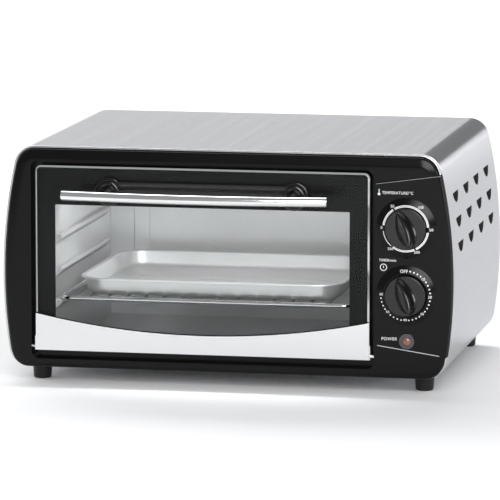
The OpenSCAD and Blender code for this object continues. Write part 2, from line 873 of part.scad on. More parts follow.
// Folded steel strip that holds the lower edge of the glass, with a dipped upper edge
module door_strip() {
    sag = strip_end_h - strip_mid_h;
    dip_r = (pow(door_w / 2 + 1, 2) + pow(sag, 2)) / (2 * sag);
    color(steel) place() {
        along_y(-strip_front, glass_y0) difference() {
            translate([door_x0, door_z0]) square([door_w, strip_end_h]);
            translate([door_x, door_z0 + strip_mid_h + dip_r]) circle(dip_r, $fn = 240);
        }
        box(door_x0, door_x1, glass_y0 - eps, glass_y1 + strip_t, door_z0, glass_z0);
        box(door_x0, door_x1, glass_y1, glass_y1 + strip_t, glass_z0 - eps, door_z0 + strip_back_h);
    }
}

module hinge_bracket(side) {
    x = side < 0 ? door_x0 : door_x1;
    color("silver") place() {
        box(min(x, x + side * bracket_t), max(x, x + side * bracket_t),
            glass_y0, hinge_back + pin_d / 2, door_z0, door_z0 + 12);
        rod_x(hinge_back, hinge_z, pin_d, min(x + side * (bracket_t - eps), x + side * (bracket_t + pin_l)),
              max(x + side * (bracket_t - eps), x + side * (bracket_t + pin_l)));
    }
}

module handle_base() {
    bridge_h = 14;
    bridge_t = 3;
    color(plastic) place() difference() {
        union() {
            handle_spots() rod_y(0, 0, disc_d, glass_y0 - disc_t, glass_y0);
            box(door_x - post_pitch / 2, door_x + post_pitch / 2, glass_y0 - bridge_t, glass_y0,
                handle_z - bridge_h / 2 + 2, handle_z + bridge_h / 2 + 2);
        }
        handle_spots() rod_y(0, 0, post_screw_d + 2 * hole_play, -20, 8);
    }
}

// The bowed tube, as a solid bar of the given radius
module bow(r, l) {
    sweep = 2 * asin(l / 2 / bow_r);
    translate([door_x, bow_y + bow_r, handle_z]) rotate([0, 0, -90 - sweep / 2])
        rotate_extrude(angle = sweep, $fn = 400) translate([bow_r, 0]) circle(r, $fn = 32);
}

module handle_post(side) {
    color(plastic) place() difference() {
        translate([door_x + side * post_pitch / 2, 0, handle_z])
            rod_y(0, 0, post_d, bow_y + handle_d / 4, glass_y0 - disc_t);
        bow(handle_d / 2 + running, handle_l + 20);
        translate([door_x + side * post_pitch / 2, 0, handle_z])
            rod_y(0, 0, post_screw_d + 2 * hole_play, glass_y0 - disc_t - post_screw_l, 8);
    }
}

module handle_tube() {
    color(steel) place() difference() {
        bow(handle_d / 2, handle_l);
        bow(handle_d / 2 - handle_wall, handle_l + 2);
    }
}

module handle_screws() {
    color("silver") place() handle_spots() {
        rod_y(0, 0, 8, glass_y1, glass_y1 + 2.2);
        rod_y(0, 0, post_screw_d, glass_y0 - disc_t - post_screw_l + 2, glass_y1 + eps);
    }
}

// ---- rack and tray ----

module wire_rack() {
    tie_z = rack_z;
    color("silver") place() {
        for (x = [rack_x0 + rack_d / 2, rack_x1 - rack_d / 2])
            rod_y(x, rack_z, rack_d, rack_y0 + rack_r, rack_y1 - rack_r);
        for (y = [rack_y0 + rack_d / 2, rack_y1 - rack_d / 2])
            rod_x(y, rack_z, rack_d, rack_x0 + rack_r, rack_x1 - rack_r);
        for (corner = [[rack_x1 - rack_r, rack_y1 - rack_r, 0], [rack_x0 + rack_r, rack_y1 - rack_r, 90],
                       [rack_x0 + rack_r, rack_y0 + rack_r, 180], [rack_x1 - rack_r, rack_y0 + rack_r, 270]])
            translate([corner[0], corner[1], rack_z]) rotate([0, 0, corner[2]])
                rotate_extrude(angle = 90) translate([rack_r - rack_d / 2, 0]) circle(d = rack_d, $fn = 24);
        for (i = [1:cross_n])
            rod_y((rack_x0 + rack_x1) / 2 + (i - (cross_n + 1) / 2) * cross_pitch, tie_z, cross_d,
                  rack_y0 + rack_d / 2, rack_y1 - rack_d / 2);
    }
}

module baking_tray() {
    wall_x0 = tray_x0 + rim_w;
    wall_x1 = tray_x1 - rim_w;
    wall_y0 = tray_y0 + rim_w;
    wall_y1 = tray_y1 - rim_w;
    color(aluminium) place() translate([0, 0, tray_z]) difference() {
        union() {
            linear_extrude(tray_h) rounded_rect(wall_x0, wall_x1, wall_y0, wall_y1, tray_r);
            translate([0, 0, tray_h - 1.5]) linear_extrude(1.5)
                rounded_rect(tray_x0, tray_x1, tray_y0, tray_y1, tray_r + rim_w);
        }
        difference() {
            translate([0, 0, tray_t]) linear_extrude(tray_h)
                rounded_rect(wall_x0 + tray_t, wall_x1 - tray_t, wall_y0 + tray_t, wall_y1 - tray_t, tray_r - tray_t);
            for (f = [0.36, 0.64]) translate([0, wall_y0 + f * (wall_y1 - wall_y0), 0])
                linear_extrude(tray_t + rib_h)
                    rounded_rect(wall_x0 + 28, wall_x1 - 28, -rib_w / 2, rib_w / 2, rib_w / 2 - eps);
        }
    }
}

outer_wrap();
front_frame();
control_panel();
rear_panel();
base_plate();
liner_side(-1);  // liner_left
liner_side(1);  // liner_right
liner_roof();
liner_back();
liner_floor();
heater(upper_heater_y, upper_heater_z);  // upper_heater
heater(lower_heater_y, lower_heater_z);  // lower_heater
heater_insulators();
mount_plate();
thermostat_body();
timer_body();
timer_bell();
control_screws();
lamp_rim();
lamp_lens();
hinge_bearing(-1);  // hinge_bearing_left
hinge_bearing(1);  // hinge_bearing_right
foot_at(-1, foot_front);  // foot_front_left
foot_at(1, foot_front);  // foot_front_right
foot_at(-1, foot_rear_y);  // foot_rear_left
foot_at(1, foot_rear_y);  // foot_rear_right
foot_screws();
rear_screws();
inlet_gland();
terminal_block();
wiring();
door_glass();
door_strip();
hinge_bracket(-1);  // hinge_bracket_left
hinge_bracket(1);  // hinge_bracket_right
handle_base();
handle_post(-1);  // handle_post_left
handle_post(1);  // handle_post_right
handle_tube();
handle_screws();
knob(temp_z);  // thermostat_knob
shaft(temp_z, 16);  // thermostat_shaft
knob(timer_z);  // timer_knob
shaft(timer_z, 24);  // timer_shaft
wire_rack();
baking_tray();
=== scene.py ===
import math

import bmesh
import bpy
from mathutils import Matrix, Vector


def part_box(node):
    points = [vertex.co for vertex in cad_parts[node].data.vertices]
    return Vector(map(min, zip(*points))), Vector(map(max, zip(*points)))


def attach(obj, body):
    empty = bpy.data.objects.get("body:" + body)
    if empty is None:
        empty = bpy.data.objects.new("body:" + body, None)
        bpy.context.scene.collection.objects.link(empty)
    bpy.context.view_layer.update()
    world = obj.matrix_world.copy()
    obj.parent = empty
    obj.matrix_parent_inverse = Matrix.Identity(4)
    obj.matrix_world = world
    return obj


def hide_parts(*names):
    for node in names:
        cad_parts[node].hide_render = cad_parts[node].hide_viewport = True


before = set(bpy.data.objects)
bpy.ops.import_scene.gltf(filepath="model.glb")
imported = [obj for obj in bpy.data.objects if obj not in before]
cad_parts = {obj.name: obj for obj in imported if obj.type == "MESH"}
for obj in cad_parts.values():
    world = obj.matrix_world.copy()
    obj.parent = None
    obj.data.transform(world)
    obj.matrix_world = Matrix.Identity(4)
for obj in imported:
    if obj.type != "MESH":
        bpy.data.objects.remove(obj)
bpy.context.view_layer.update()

mm = 0.001

# Pieces are drawn in millimetres from the front face and the lower edge of the casing, x from the middle
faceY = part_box("front_frame")[0].y
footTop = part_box("outer_wrap")[0].z
home = Vector((0, faceY, footTop))
toRow = Matrix.Translation(home) @ Matrix.Scale(mm, 4)


def local(node):
    low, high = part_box(node)
    return (low - home) / mm, (high - home) / mm


# camera, floor and lights

view = {
    "azimuth": 11.26,
    "elevation": 8.16,
    "target": Vector((-0.0042, 0.00875, 0.1011)),
    "distance": 4.1347,
    "lens": 341.4,
    "sensor": 36,
    "farthest": 60,
}


def addCamera():
    data = bpy.data.cameras.new("camera")
    data.lens = view["lens"]
    data.sensor_width = view["sensor"]
    data.clip_end = view["farthest"]
    camera = bpy.data.objects.new("camera", data)
    bpy.context.collection.objects.link(camera)
    a, e = math.radians(view["azimuth"]), math.radians(view["elevation"])
    back = Vector((math.sin(a) * math.cos(e), -math.cos(a) * math.cos(e), math.sin(e)))
    camera.location = view["target"] + back * view["distance"]
    camera.rotation_euler = (-back).to_track_quat("-Z", "Y").to_euler()
    bpy.context.scene.camera = camera


# place, aim point, width, height and power of each light panel, in metres and watts
lights = {
    "overhead": ((-1.7, 2.0, 2.2), (0.0, 2.0, 0.0), 1.8, 5.6, 150),
    "key": ((0.85, -2.3, 1.12), (0.1, -0.1, 0.1), 1.7, 1.3, 52),
    "side": ((2.6, -0.3, 0.55), (0.15, -0.1, 0.1), 0.8, 0.8, 14),
    "behind": ((-1.3, 4.8, 0.74), (0.0, 0.0, 0.2), 1.8, 1.46, 6.5),
    "beyond": ((1.5, 4.4, 0.35), (0.1, 0.0, 0.1), 1.1, 0.7, 4.6),
}
ovenLight = ((-0.02, -0.075, 0.172), (-0.02, 0.06, 0.03), 0.22, 0.05, 1.1)
studio = {"sky": (0.97, 0.98, 1.0, 1), "skyStrength": 0.32, "floorHalf": 14}


def addLight(name, place, aim, width, height, power, shown=True):
    data = bpy.data.lights.new(name, "AREA")
    data.shape = "RECTANGLE"
    data.size, data.size_y = width, height
    data.energy = power
    lamp = bpy.data.objects.new(name, data)
    bpy.context.collection.objects.link(lamp)
    lamp.location = place
    lamp.rotation_euler = (Vector(aim) - Vector(place)).to_track_quat("-Z", "Y").to_euler()
    lamp.visible_camera = False
    lamp.visible_glossy = shown


def addStudio():
    scene = bpy.context.scene
    scene.view_settings.view_transform = "Standard"
    world = bpy.data.worlds.new("studio")
    world.use_nodes = True
    sky = world.node_tree.nodes["Background"]
    sky.inputs["Color"].default_value = studio["sky"]
    sky.inputs["Strength"].default_value = studio["skyStrength"]
    scene.world = world
    for name, values in lights.items():
        addLight(name, *values)
    addLight("oven_light", *ovenLight, shown=False)
    bm = bmesh.new()
    bmesh.ops.create_grid(bm, x_segments=1, y_segments=1, size=studio["floorHalf"])
    mesh = bpy.data.meshes.new("floor")
    bm.to_mesh(mesh)
    bm.free()
    floor = bpy.data.objects.new("floor", mesh)
    bpy.context.collection.objects.link(floor)
    floor.data.materials.append(floorPaper())


# finishes

class Wire:
    # a socket that can be calculated with
    def __init__(self, finish, socket):
        self.finish, self.socket = finish, socket

    def calc(self, operation, a, b):
        return self.finish.add("ShaderNodeMath", {"operation": operation}, {0: a, 1: b})

    def __add__(self, other):
        return self.calc("ADD", self, other)

    def __radd__(self, other):
        return self.calc("ADD", other, self)

    def __mul__(self, other):
        return self.calc("MULTIPLY", self, other)

    def __rmul__(self, other):
        return self.calc("MULTIPLY", other, self)


class Finish:
    # a Principled material; the values are the shader's own constants
    def __init__(self, name, **values):
        self.material = bpy.data.materials.new(name)
        self.material.use_nodes = True
        self.tree = self.material.node_tree
        self.shader = self.tree.nodes["Principled BSDF"]
        for key, value in values.items():
            socket = self.shader.inputs[key.replace("_", " ")]
            socket.default_value = (*value, 1) if isinstance(value, tuple) else value

    def add(self, kind, settings=None, sockets=None, out=0):
        node = self.tree.nodes.new(kind)
        for key, value in (settings or {}).items():
            setattr(node, key, value)
        for key, value in (sockets or {}).items():
            self.join(node.inputs[key], value)
        return Wire(self, node.outputs[out])

    def join(self, socket, value):
        if isinstance(value, Wire):
            self.tree.links.new(value.socket, socket)
        elif isinstance(value, tuple) and len(value) == 3 and socket.type == "RGBA":
            socket.default_value = (*value, 1)
        else:
            socket.default_value = value

    def drive(self, **wires):
        for key, value in wires.items():
            self.join(self.shader.inputs[key.replace("_", " ")], value)
        return self

    def noise(self, scale, detail=2.0, roughness=0.5, stretch=(1, 1, 1)):
        place = self.add("ShaderNodeTexCoord", out="Object")
        place = self.add("ShaderNodeMapping", {}, {"Vector": place, "Scale": stretch})
        sockets = {"Vector": place, "Scale": scale, "Detail": detail, "Roughness": roughness}
        return self.add("ShaderNodeTexNoise", {}, sockets)

    def blend(self, factor, a, b):
        sockets = {"Factor": factor, 6: a, 7: b}  # 6 and 7 are the colours A and B, and 2 is their mix
        return self.add("ShaderNodeMix", {"data_type": "RGBA"}, sockets, out=2)

    def bump(self, height, strength, distance):
        sockets = {"Height": height, "Strength": strength, "Distance": distance}
        return self.drive(Normal=self.add("ShaderNodeBump", {}, sockets))


def floorPaper():
    paper = Finish("floor_paper", Roughness=0.9, Specular_IOR_Level=0.1)
    cloud = paper.noise(1.3, 2)
    paper.drive(Base_Color=paper.blend(cloud, (0.93, 0.935, 0.94), (0.96, 0.96, 0.965)))
    return paper.material


def brushedSteel(name, along, shade=0.80, rough=0.24, tint=(1.0, 1.0, 1.0)):
    # fine grinding lines run along one axis, with longer soft streaks among them
    stretch = tuple(0.02 if axis == along else 1.0 for axis in "xyz")
    steel = Finish(name, Metallic=1.0, Specular_Tint=tint)
    hair = steel.noise(1500, 2, 0.6, stretch)
    streak = steel.noise(160, 3, 0.6, stretch)
    cloud = steel.noise(9, 2)
    tone = hair * 0.35 + streak * 0.45 + cloud * 0.2
    dark = (shade * 0.93, shade * 0.935, shade * 0.945)
    light = (min(shade * 1.06, 1), min(shade * 1.06, 1), min(shade * 1.065, 1))
    steel.drive(Base_Color=steel.blend(tone, dark, light))
    steel.drive(Roughness=streak * 0.10 + hair * 0.06 + (rough - 0.08))
    steel.bump(hair * 0.6 + streak * 0.4, 0.12, 0.00008)
    return steel.material


def polishedSteel(name, shade=0.86, rough=0.10):
    steel = Finish(name, Metallic=1.0)
    wipe = steel.noise(420, 3, 0.6, (0.05, 1, 1))
    smear = steel.noise(38, 3)
    tone = wipe * 0.5 + smear * 0.5
    dark, light = (shade * 0.93,) * 3, (min(shade * 1.05, 1),) * 3
    steel.drive(Base_Color=steel.blend(tone, dark, light), Roughness=tone * 0.1 + (rough - 0.05))
    steel.bump(wipe, 0.06, 0.00005)
    return steel.material


def moulded(name, shade, rough, level=0.2, grain=900, depth=0.05, swing=0.1):
    # moulded plastic: faint flow clouds and a fine skin
    plastic = Finish(name, Specular_IOR_Level=level)
    skin = plastic.noise(grain, 2, 0.5)
    flow = plastic.noise(22, 3)
    dark, light = tuple(c * 0.8 for c in shade), tuple(c * 1.25 for c in shade)
    plastic.drive(Base_Color=plastic.blend(flow, dark, light))
    plastic.drive(Roughness=flow * swing + skin * (swing * 0.5) + (rough - swing * 0.75))
    plastic.bump(skin, depth, 0.0001)
    return plastic.material


def zincPlate(name, shade=0.62, rough=0.42, spangle=55):
    # zinc coating: angular crystals of slightly different grey
    zinc = Finish(name, Metallic=1.0)
    place = zinc.add("ShaderNodeTexCoord", out="Object")
    crystal = zinc.add("ShaderNodeTexVoronoi", {}, {"Vector": place, "Scale": spangle}, out="Color")
    grey = zinc.add("ShaderNodeSeparateColor", {}, {0: crystal})
    fine = zinc.noise(500, 3)
    tone = grey * 0.7 + fine * 0.3
    dark, light = (shade * 0.84,) * 3, (shade * 1.12, shade * 1.13, shade * 1.15)
    zinc.drive(Base_Color=zinc.blend(tone, dark, light), Roughness=tone * 0.18 + (rough - 0.09))
    zinc.bump(fine, 0.1, 0.0001)
    return zinc.material


def cavitySteel(name, shade=0.74, rough=0.38):
    # aluminised sheet: cloudy, satin, with faint rolling lines
    sheet = Finish(name, Metallic=0.85)
    cloud = sheet.noise(16, 4, 0.6)
    roll = sheet.noise(260, 3, 0.6, (1, 0.06, 1))
    speck = sheet.noise(900, 2)
    tone = cloud * 0.5 + roll * 0.3 + speck * 0.2
    dark, light = (shade * 0.86, shade * 0.86, shade * 0.87), (shade * 1.12, shade * 1.12, shade * 1.13)
    sheet.drive(Base_Color=sheet.blend(tone, dark, light), Roughness=tone * 0.2 + (rough - 0.1))
    sheet.bump(cloud * 0.3 + speck * 0.7, 0.12, 0.00012)
    return sheet.material


def heatedSteel(name):
    # element sheath: oxidised, darker and browner in patches
    sheath = Finish(name, Metallic=0.8)
    patch = sheath.noise(60, 4, 0.6)
    grit = sheath.noise(1200, 2)
    sheath.drive(Base_Color=sheath.blend(patch, (0.10, 0.085, 0.075), (0.24, 0.22, 0.20)))
    sheath.drive(Roughness=patch * 0.2 + grit * 0.15 + 0.38)
    sheath.bump(grit, 0.25, 0.0001)
    return sheath.material


def trayMetal(name):
    # baking tray: bright pressed aluminium with dull roasting clouds
    metal = Finish(name, Metallic=0.9)
    cloud = metal.noise(20, 4, 0.6)
    draw = metal.noise(300, 3, 0.6, (0.05, 1, 1))
    tone = cloud * 0.6 + draw * 0.4
    metal.drive(Base_Color=metal.blend(tone, (0.74, 0.74, 0.745), (0.93, 0.93, 0.935)))
    metal.drive(Roughness=tone * 0.16 + 0.34)
    metal.bump(draw, 0.08, 0.00008)
    return metal.material


def paneGlass(name):
    # clear float glass: it lets nearly all through and mirrors a little, more at a glancing angle
    glass = Finish(name)
    clear = glass.add("ShaderNodeBsdfTransparent", {}, {"Color": (0.955, 0.965, 0.96)})
    mirror = glass.add("ShaderNodeBsdfGlossy", {}, {"Color": (1.0, 1.0, 1.0), "Roughness": 0.03})
    facing = glass.add("ShaderNodeLayerWeight", {}, {"Blend": 0.2}, out="Fresnel")
    smear = glass.noise(14, 3)
    amount = facing * 0.25 + smear * 0.006
    mixed = glass.add("ShaderNodeMixShader", {}, {0: amount, 1: clear, 2: mirror})
    glass.join(glass.tree.nodes["Material Output"].inputs["Surface"], mixed)
    glass.tree.nodes.remove(glass.shader)
    return glass.material


def groundEdge(name):
    edge = Finish(name, Metallic=0.85, Specular_IOR_Level=0.5)
    grind = edge.noise(700, 3)
    edge.drive(Base_Color=edge.blend(grind, (0.66, 0.68, 0.68), (0.84, 0.86, 0.86)))
    edge.drive(Roughness=grind * 0.15 + 0.16)
    edge.bump(grind, 0.08, 0.0001)
    return edge.material


def lampPlastic(name, shade, rough):
    lens = Finish(name, Coat_Roughness=0.05, Coat_Weight=0.6)
    haze = lens.noise(220, 3)
    dark, light = tuple(c * 0.7 for c in shade), tuple(min(c * 1.3, 1) for c in shade)
    lens.drive(Base_Color=lens.blend(haze, dark, light), Roughness=haze * 0.1 + rough)
    lens.bump(haze, 0.08, 0.0001)
    return lens.material


print("finishes")
finish = {
    "wrap_steel": brushedSteel("wrap_steel", "y", 0.60, 0.25, tint=(0.76, 0.76, 0.78)),
    "strip_steel": brushedSteel("strip_steel", "x", 0.84, 0.24),
    "tube_steel": polishedSteel("tube_steel", 0.92, 0.12),
    "black_gloss": moulded("black_gloss", (0.0025, 0.0025, 0.0028), 0.19, 0.20, 900, 0.03, 0.05),
    "knob_black": moulded("knob_black", (0.006, 0.006, 0.0063), 0.16, 0.5, 1400, 0.04, 0.06),
    "foot_plastic": moulded("foot_plastic", (0.010, 0.010, 0.010), 0.42, 0.3, 1600, 0.2, 0.12),
    "bearing_plastic": moulded("bearing_plastic", (0.02, 0.02, 0.021), 0.5, 0.3, 1600, 0.15),
    "control_plastic": moulded("control_plastic", (0.45, 0.42, 0.36), 0.45, 0.4, 1200, 0.1),
    "wire_sleeve": moulded("wire_sleeve", (0.62, 0.60, 0.56), 0.6, 0.3, 2200, 0.3),
    "galvanised_steel": zincPlate("galvanised_steel"),
    "liner_steel": cavitySteel("liner_steel"),
    "heater_steel": heatedSteel("heater_steel"),
    "plated_steel": polishedSteel("plated_steel", 0.78, 0.22),
    "rack_chrome": polishedSteel("rack_chrome", 0.88, 0.14),
    "tray_aluminium": trayMetal("tray_aluminium"),
    "ceramic": moulded("ceramic", (0.78, 0.76, 0.70), 0.7, 0.3, 900, 0.2),
    "lamp_rim": lampPlastic("lamp_rim", (0.035, 0.035, 0.042), 0.12),
    "lamp_lens": lampPlastic("lamp_lens", (0.25, 0.09, 0.07), 0.08),
    "door_glass": paneGlass("door_glass"),
}
edgeGlass = groundEdge("glass_edge")
# black ink for the door's printed border, also used for the band that paints the shadow line above the door
# strip
blackPrintAndShadow = moulded("black_print_and_shadow_ink", (0.0055, 0.0055, 0.0055), 0.45, 0.05, 1500, 0.02)
# near-black steel for the louvre bowls: painted shade inside the slots
louvreShadeSteel = brushedSteel("louvre_painted_shade", "y", 0.07, 0.5, tint=(0.3, 0.3, 0.3))
handleGloss = moulded("handle_gloss", (0.004, 0.004, 0.0042), 0.14, 0.5, 900, 0.03, 0.05)
mattBlack = moulded("matt_black", (0.003, 0.003, 0.003), 0.5, 0.02, 1500, 0.03)
# light grey ink for the lines that paint the highlights of the panel's slanted edges
highlightInk = moulded("painted_highlight_ink", (0.50, 0.50, 0.51), 0.35, 0.4, 1800, 0.04)
whiteInk = moulded("white_ink", (0.84, 0.84, 0.84), 0.5, 0.2, 1800, 0.05)

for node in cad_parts.values():
    for place in node.material_slots:
        place.material = finish[place.material.name.split(".")[0]]

print("camera and studio")
addCamera()
addStudio()


# drawing helpers

def vertsIn(geom):
    return [g for g in geom if isinstance(g, bmesh.types.BMVert)]


def lineTo(bm, vert, step):
    new = bmesh.ops.extrude_vert_indiv(bm, verts=[vert])["verts"][0]
    bmesh.ops.translate(bm, verts=[new], vec=step)
    return new


def arcTo(bm, vert, centre, degrees, steps):
    # turns from +x towards +z about an axis along y
    made = bmesh.ops.spin(
        bm, geom=[vert], cent=centre, axis=(0, -1, 0), dvec=(0, 0, 0),
        angle=math.radians(degrees), steps=steps, use_merge=False, use_duplicate=False,
    )
    return vertsIn(made["geom_last"])[-1]


def newEdges(bm, before):
    return [e for e in bm.edges if e not in before]


def newVerts(bm, before):
    return [v for v in bm.verts if v not in before]


def roundedRing(bm, x0, x1, z0, z1, r, y, steps=6):
    before = set(bm.edges)
    start = vert = bm.verts.new((x0 + r, y, z0))
    for cx, cz, step in (
        (x1 - r, z0 + r, (x1 - x0 - 2 * r, 0, 0)),
        (x1 - r, z1 - r, (0, 0, z1 - z0 - 2 * r)),
        (x0 + r, z1 - r, (x0 - x1 + 2 * r, 0, 0)),
        (x0 + r, z0 + r, (0, 0, z0 - z1 + 2 * r)),
    ):
        vert = lineTo(bm, vert, step)
        vert = arcTo(bm, vert, (cx, y, cz), 90, steps)
    bmesh.ops.pointmerge(bm, verts=[start, vert], merge_co=start.co)
    return newEdges(bm, before)


def bridge(bm, a, b):
    # rings in one plane are held apart meanwhile, so that both are walked the same way round
    flat = abs(a[0].verts[0].co.y - b[0].verts[0].co.y) < 0.01
    verts = list({v for e in b for v in e.verts})
    bmesh.ops.translate(bm, verts=verts, vec=(0, 1 if flat else 0, 0))
    bmesh.ops.bridge_loops(bm, edges=a + b)
    bmesh.ops.translate(bm, verts=verts, vec=(0, -1 if flat else 0, 0))


def bridgeAll(bm, rings, closed=False):
    pairs = list(zip(rings, rings[1:])) + ([(rings[-1], rings[0])] if closed else [])
    for a, b in pairs:
        bridge(bm, a, b)


def cap(bm, ring):
    return bmesh.ops.edgeloop_fill(bm, edges=ring, mat_nr=0, use_smooth=False)["faces"]


def spinProfile(bm, points, centre, steps=96):
    # turns an (r, y) profile about an axis along y; a profile that starts and ends on the axis is closed
    x, z = centre
    vert = bm.verts.new((x + points[0][0], points[0][1], z))
    chain = [vert]
    for (r0, y0), (r1, y1) in zip(points, points[1:]):
        vert = lineTo(bm, vert, (r1 - r0, y1 - y0, 0))
        chain.append(vert)
    edges = [e for e in bm.edges if e.verts[0] in chain and e.verts[1] in chain]
    bmesh.ops.spin(
        bm, geom=chain + edges, cent=(x, 0, z), axis=(0, 1, 0), dvec=(0, 0, 0),
        angle=2 * math.pi, steps=steps, use_merge=True, use_duplicate=False,
    )
    bmesh.ops.remove_doubles(bm, verts=bm.verts, dist=1e-4)


def block(bm, x0, x1, y0, y1, z0, z1):
    made = bmesh.ops.create_cube(bm, size=1)["verts"]
    bmesh.ops.scale(bm, verts=made, vec=(x1 - x0, y1 - y0, z1 - z0))
    bmesh.ops.translate(bm, verts=made, vec=((x0 + x1) / 2, (y0 + y1) / 2, (z0 + z1) / 2))
    return made


def extrudeBy(bm, faces, step):
    moved = bmesh.ops.extrude_face_region(bm, geom=faces)["geom"]
    bmesh.ops.translate(bm, verts=vertsIn(moved), vec=step)


def bevelSharp(bm, width, segments=2, degrees=40):
    sharp = [
        e for e in bm.edges
        if len(e.link_faces) == 2 and e.calc_face_angle(0) > math.radians(degrees)
    ]
    bmesh.ops.bevel(
        bm, geom=sharp, offset=width, segments=segments, profile=0.5, material=-1,
        affect="EDGES", clamp_overlap=True,
    )


def makeObject(name, bm, materials, closed=True):
    if closed:
        bmesh.ops.recalc_face_normals(bm, faces=bm.faces)
    mesh = bpy.data.meshes.new(name)
    bm.to_mesh(mesh)
    bm.free()
    for material in materials:
        mesh.materials.append(material)
    piece = bpy.data.objects.new(name, mesh)
    bpy.context.collection.objects.link(piece)
    return piece


def applyModifiers(piece):
    shown = piece.evaluated_get(bpy.context.evaluated_depsgraph_get())
    mesh = bpy.data.meshes.new_from_object(shown)
    piece.modifiers.clear()
    piece.data = mesh


def modify(piece, kind, **values):
    made = piece.modifiers.new(kind.lower(), kind)
    for key, value in values.items():
        setattr(made, key, value)
    return made


def shade(piece, degrees=35):
    bm = bmesh.new()
    bm.from_mesh(piece.data)
    for face in bm.faces:
        face.smooth = True
    for edge in bm.edges:
        edge.smooth = len(edge.link_faces) == 2 and edge.calc_face_angle(0) < math.radians(degrees)
    bm.to_mesh(piece.data)
    bm.free()


def finishPiece(piece, body, slot, *nodes, degrees=35, weighted=True, row=True):
    if piece.modifiers:
        applyModifiers(piece)
    if row:
        piece.data.transform(toRow)
    shade(piece, degrees)
    if weighted:
        modify(piece, "WEIGHTED_NORMAL", keep_sharp=True, weight=80)
        applyModifiers(piece)
    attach(piece, body)
    if nodes:
        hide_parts(*nodes)
    print("piece", piece.name, len(piece.data.polygons), "faces")


def carve(piece, cutter):
    tool = makeObject("cutter", cutter, [])
    modify(piece, "BOOLEAN", operation="DIFFERENCE", solver="EXACT", object=tool)
    applyModifiers(piece)
    bpy.data.objects.remove(tool)


# the barrel-shaped section of the casing

wrapLow, wrapHigh = local("outer_wrap")
section = {
    "halfW": wrapHigh.x,
    "height": wrapHigh.z,
    "sideR": 435.0,
    "bellyZ": 80.0,
    "topR": 18.0,
    "bottomR": 17.0,
    "cornerSteps": 10,
    "sideSteps": 36,
}


def sectionArcs(inset, low):
    # centre and angles of the three arcs, from the bottom corner up
    s = section
    r, cx = s["sideR"] - inset, s["halfW"] - s["sideR"]
    rt, rb = s["topR"] - inset, s["bottomR"] - inset
    zt, zb = s["height"] - inset - rt, low + rb
    xt = cx + math.sqrt((r - rt) ** 2 - (zt - s["bellyZ"]) ** 2)
    xb = cx + math.sqrt((r - rb) ** 2 - (zb - s["bellyZ"]) ** 2)
    at = math.degrees(math.atan2(zt - s["bellyZ"], xt - cx))
    ab = math.degrees(math.atan2(zb - s["bellyZ"], xb - cx))
    return (xb, zb, ab), (cx, s["bellyZ"]), (xt, zt, at)


def sectionRing(bm, inset, y, low=None, startX=0.0):
    # startX is where an open ring begins on the underside; 0 closes it
    low = inset if low is None else low
    (xb, zb, ab), (cx, cz), (xt, zt, at) = sectionArcs(inset, low)
    before, beforeVerts = set(bm.edges), set(bm.verts)
    vert = bm.verts.new((startX, y, low))
    vert = lineTo(bm, vert, (xb - startX, 0, 0))
    vert = arcTo(bm, vert, (xb, y, zb), 90 + ab, section["cornerSteps"])
    vert = arcTo(bm, vert, (cx, y, cz), at - ab, section["sideSteps"])
    vert = arcTo(bm, vert, (xt, y, zt), 90 - at, section["cornerSteps"])
    lineTo(bm, vert, (-vert.co.x, 0, 0))
    half = newVerts(bm, beforeVerts) + newEdges(bm, before)
    bmesh.ops.mirror(bm, geom=half, matrix=Matrix(), merge_dist=1e-4, axis="X")
    return newEdges(bm, before)


def sideX(z, inset=0.0):
    r = section["sideR"] - inset
    return section["halfW"] - section["sideR"] + math.sqrt(r * r - (z - section["bellyZ"]) ** 2)


# outer wrap

wrap = {
    "front": wrapLow.y,
    "back": wrapHigh.y,
    "sheet": 1.0,
    "hem": 2.2,
    "hemLength": 3.0,
    # the groove behind the hem as steps of distance and depth, down from its back edge and up to the hem
    "grooveBack": 8.6,
    "grooveDown": ((0.25, 0.1), (0.5, 0.7)),
    "grooveUp": ((1.2, 0.7), (0.8, 0.25), (0.2, 0.0)),
    "flange": 12.0,
    "flangeX": 158.0,
    "rearStep": 1.15,
    "beadSteps": 8,
    "nearTrue": 0.955,  # cosine between a corner's normal and its arc's, above which it takes the arc's
    # the slot for the panel's skirt: its play, its front and back, and how far it runs past the side
    "slotPlay": 0.15,
    "slot": (-4.0, 10.15),
    "slotPast": 4.0,
}
louvre = {
    "length": 30.0,
    "height": 9.0,
    "tops": (153.0, 132.0, 111.0),
    "first": 56.0,
    "last": 230.0,
    "count": 4,
    "cut": 6.0,
    # the bowl behind a slot: its depth, its room round the slot, its centre, and where it is cut open
    "sink": 5.2,
    "bowlRoom": 0.5,
    "bowlBack": 0.6,
    "bowlTop": 0.1,
    "bowlMouth": 0.55,
    "bowlSheet": 0.8,
}
louvre["radius"] = ((louvre["length"] / 2) ** 2 + louvre["height"] ** 2) / (2 * louvre["height"])
panelEdge = {
    "inner": 129.0, "outer": 195.0, "lowIn": 27.9, "lowOut": 18.3, "topIn": 165.7, "topOut": 175.0,
    # where the slanted edges meet the side of the casing
    "lowCornerX": 189.0, "topCornerX": 184.0,
}


def lowerEdge(x):
    e = panelEdge
    return e["lowIn"] + (x - e["inner"]) * (e["lowOut"] - e["lowIn"]) / (e["outer"] - e["inner"])


def upperEdge(x):
    e = panelEdge
    return e["topIn"] + (x - e["inner"]) * (e["topOut"] - e["topIn"]) / (e["outer"] - e["inner"])


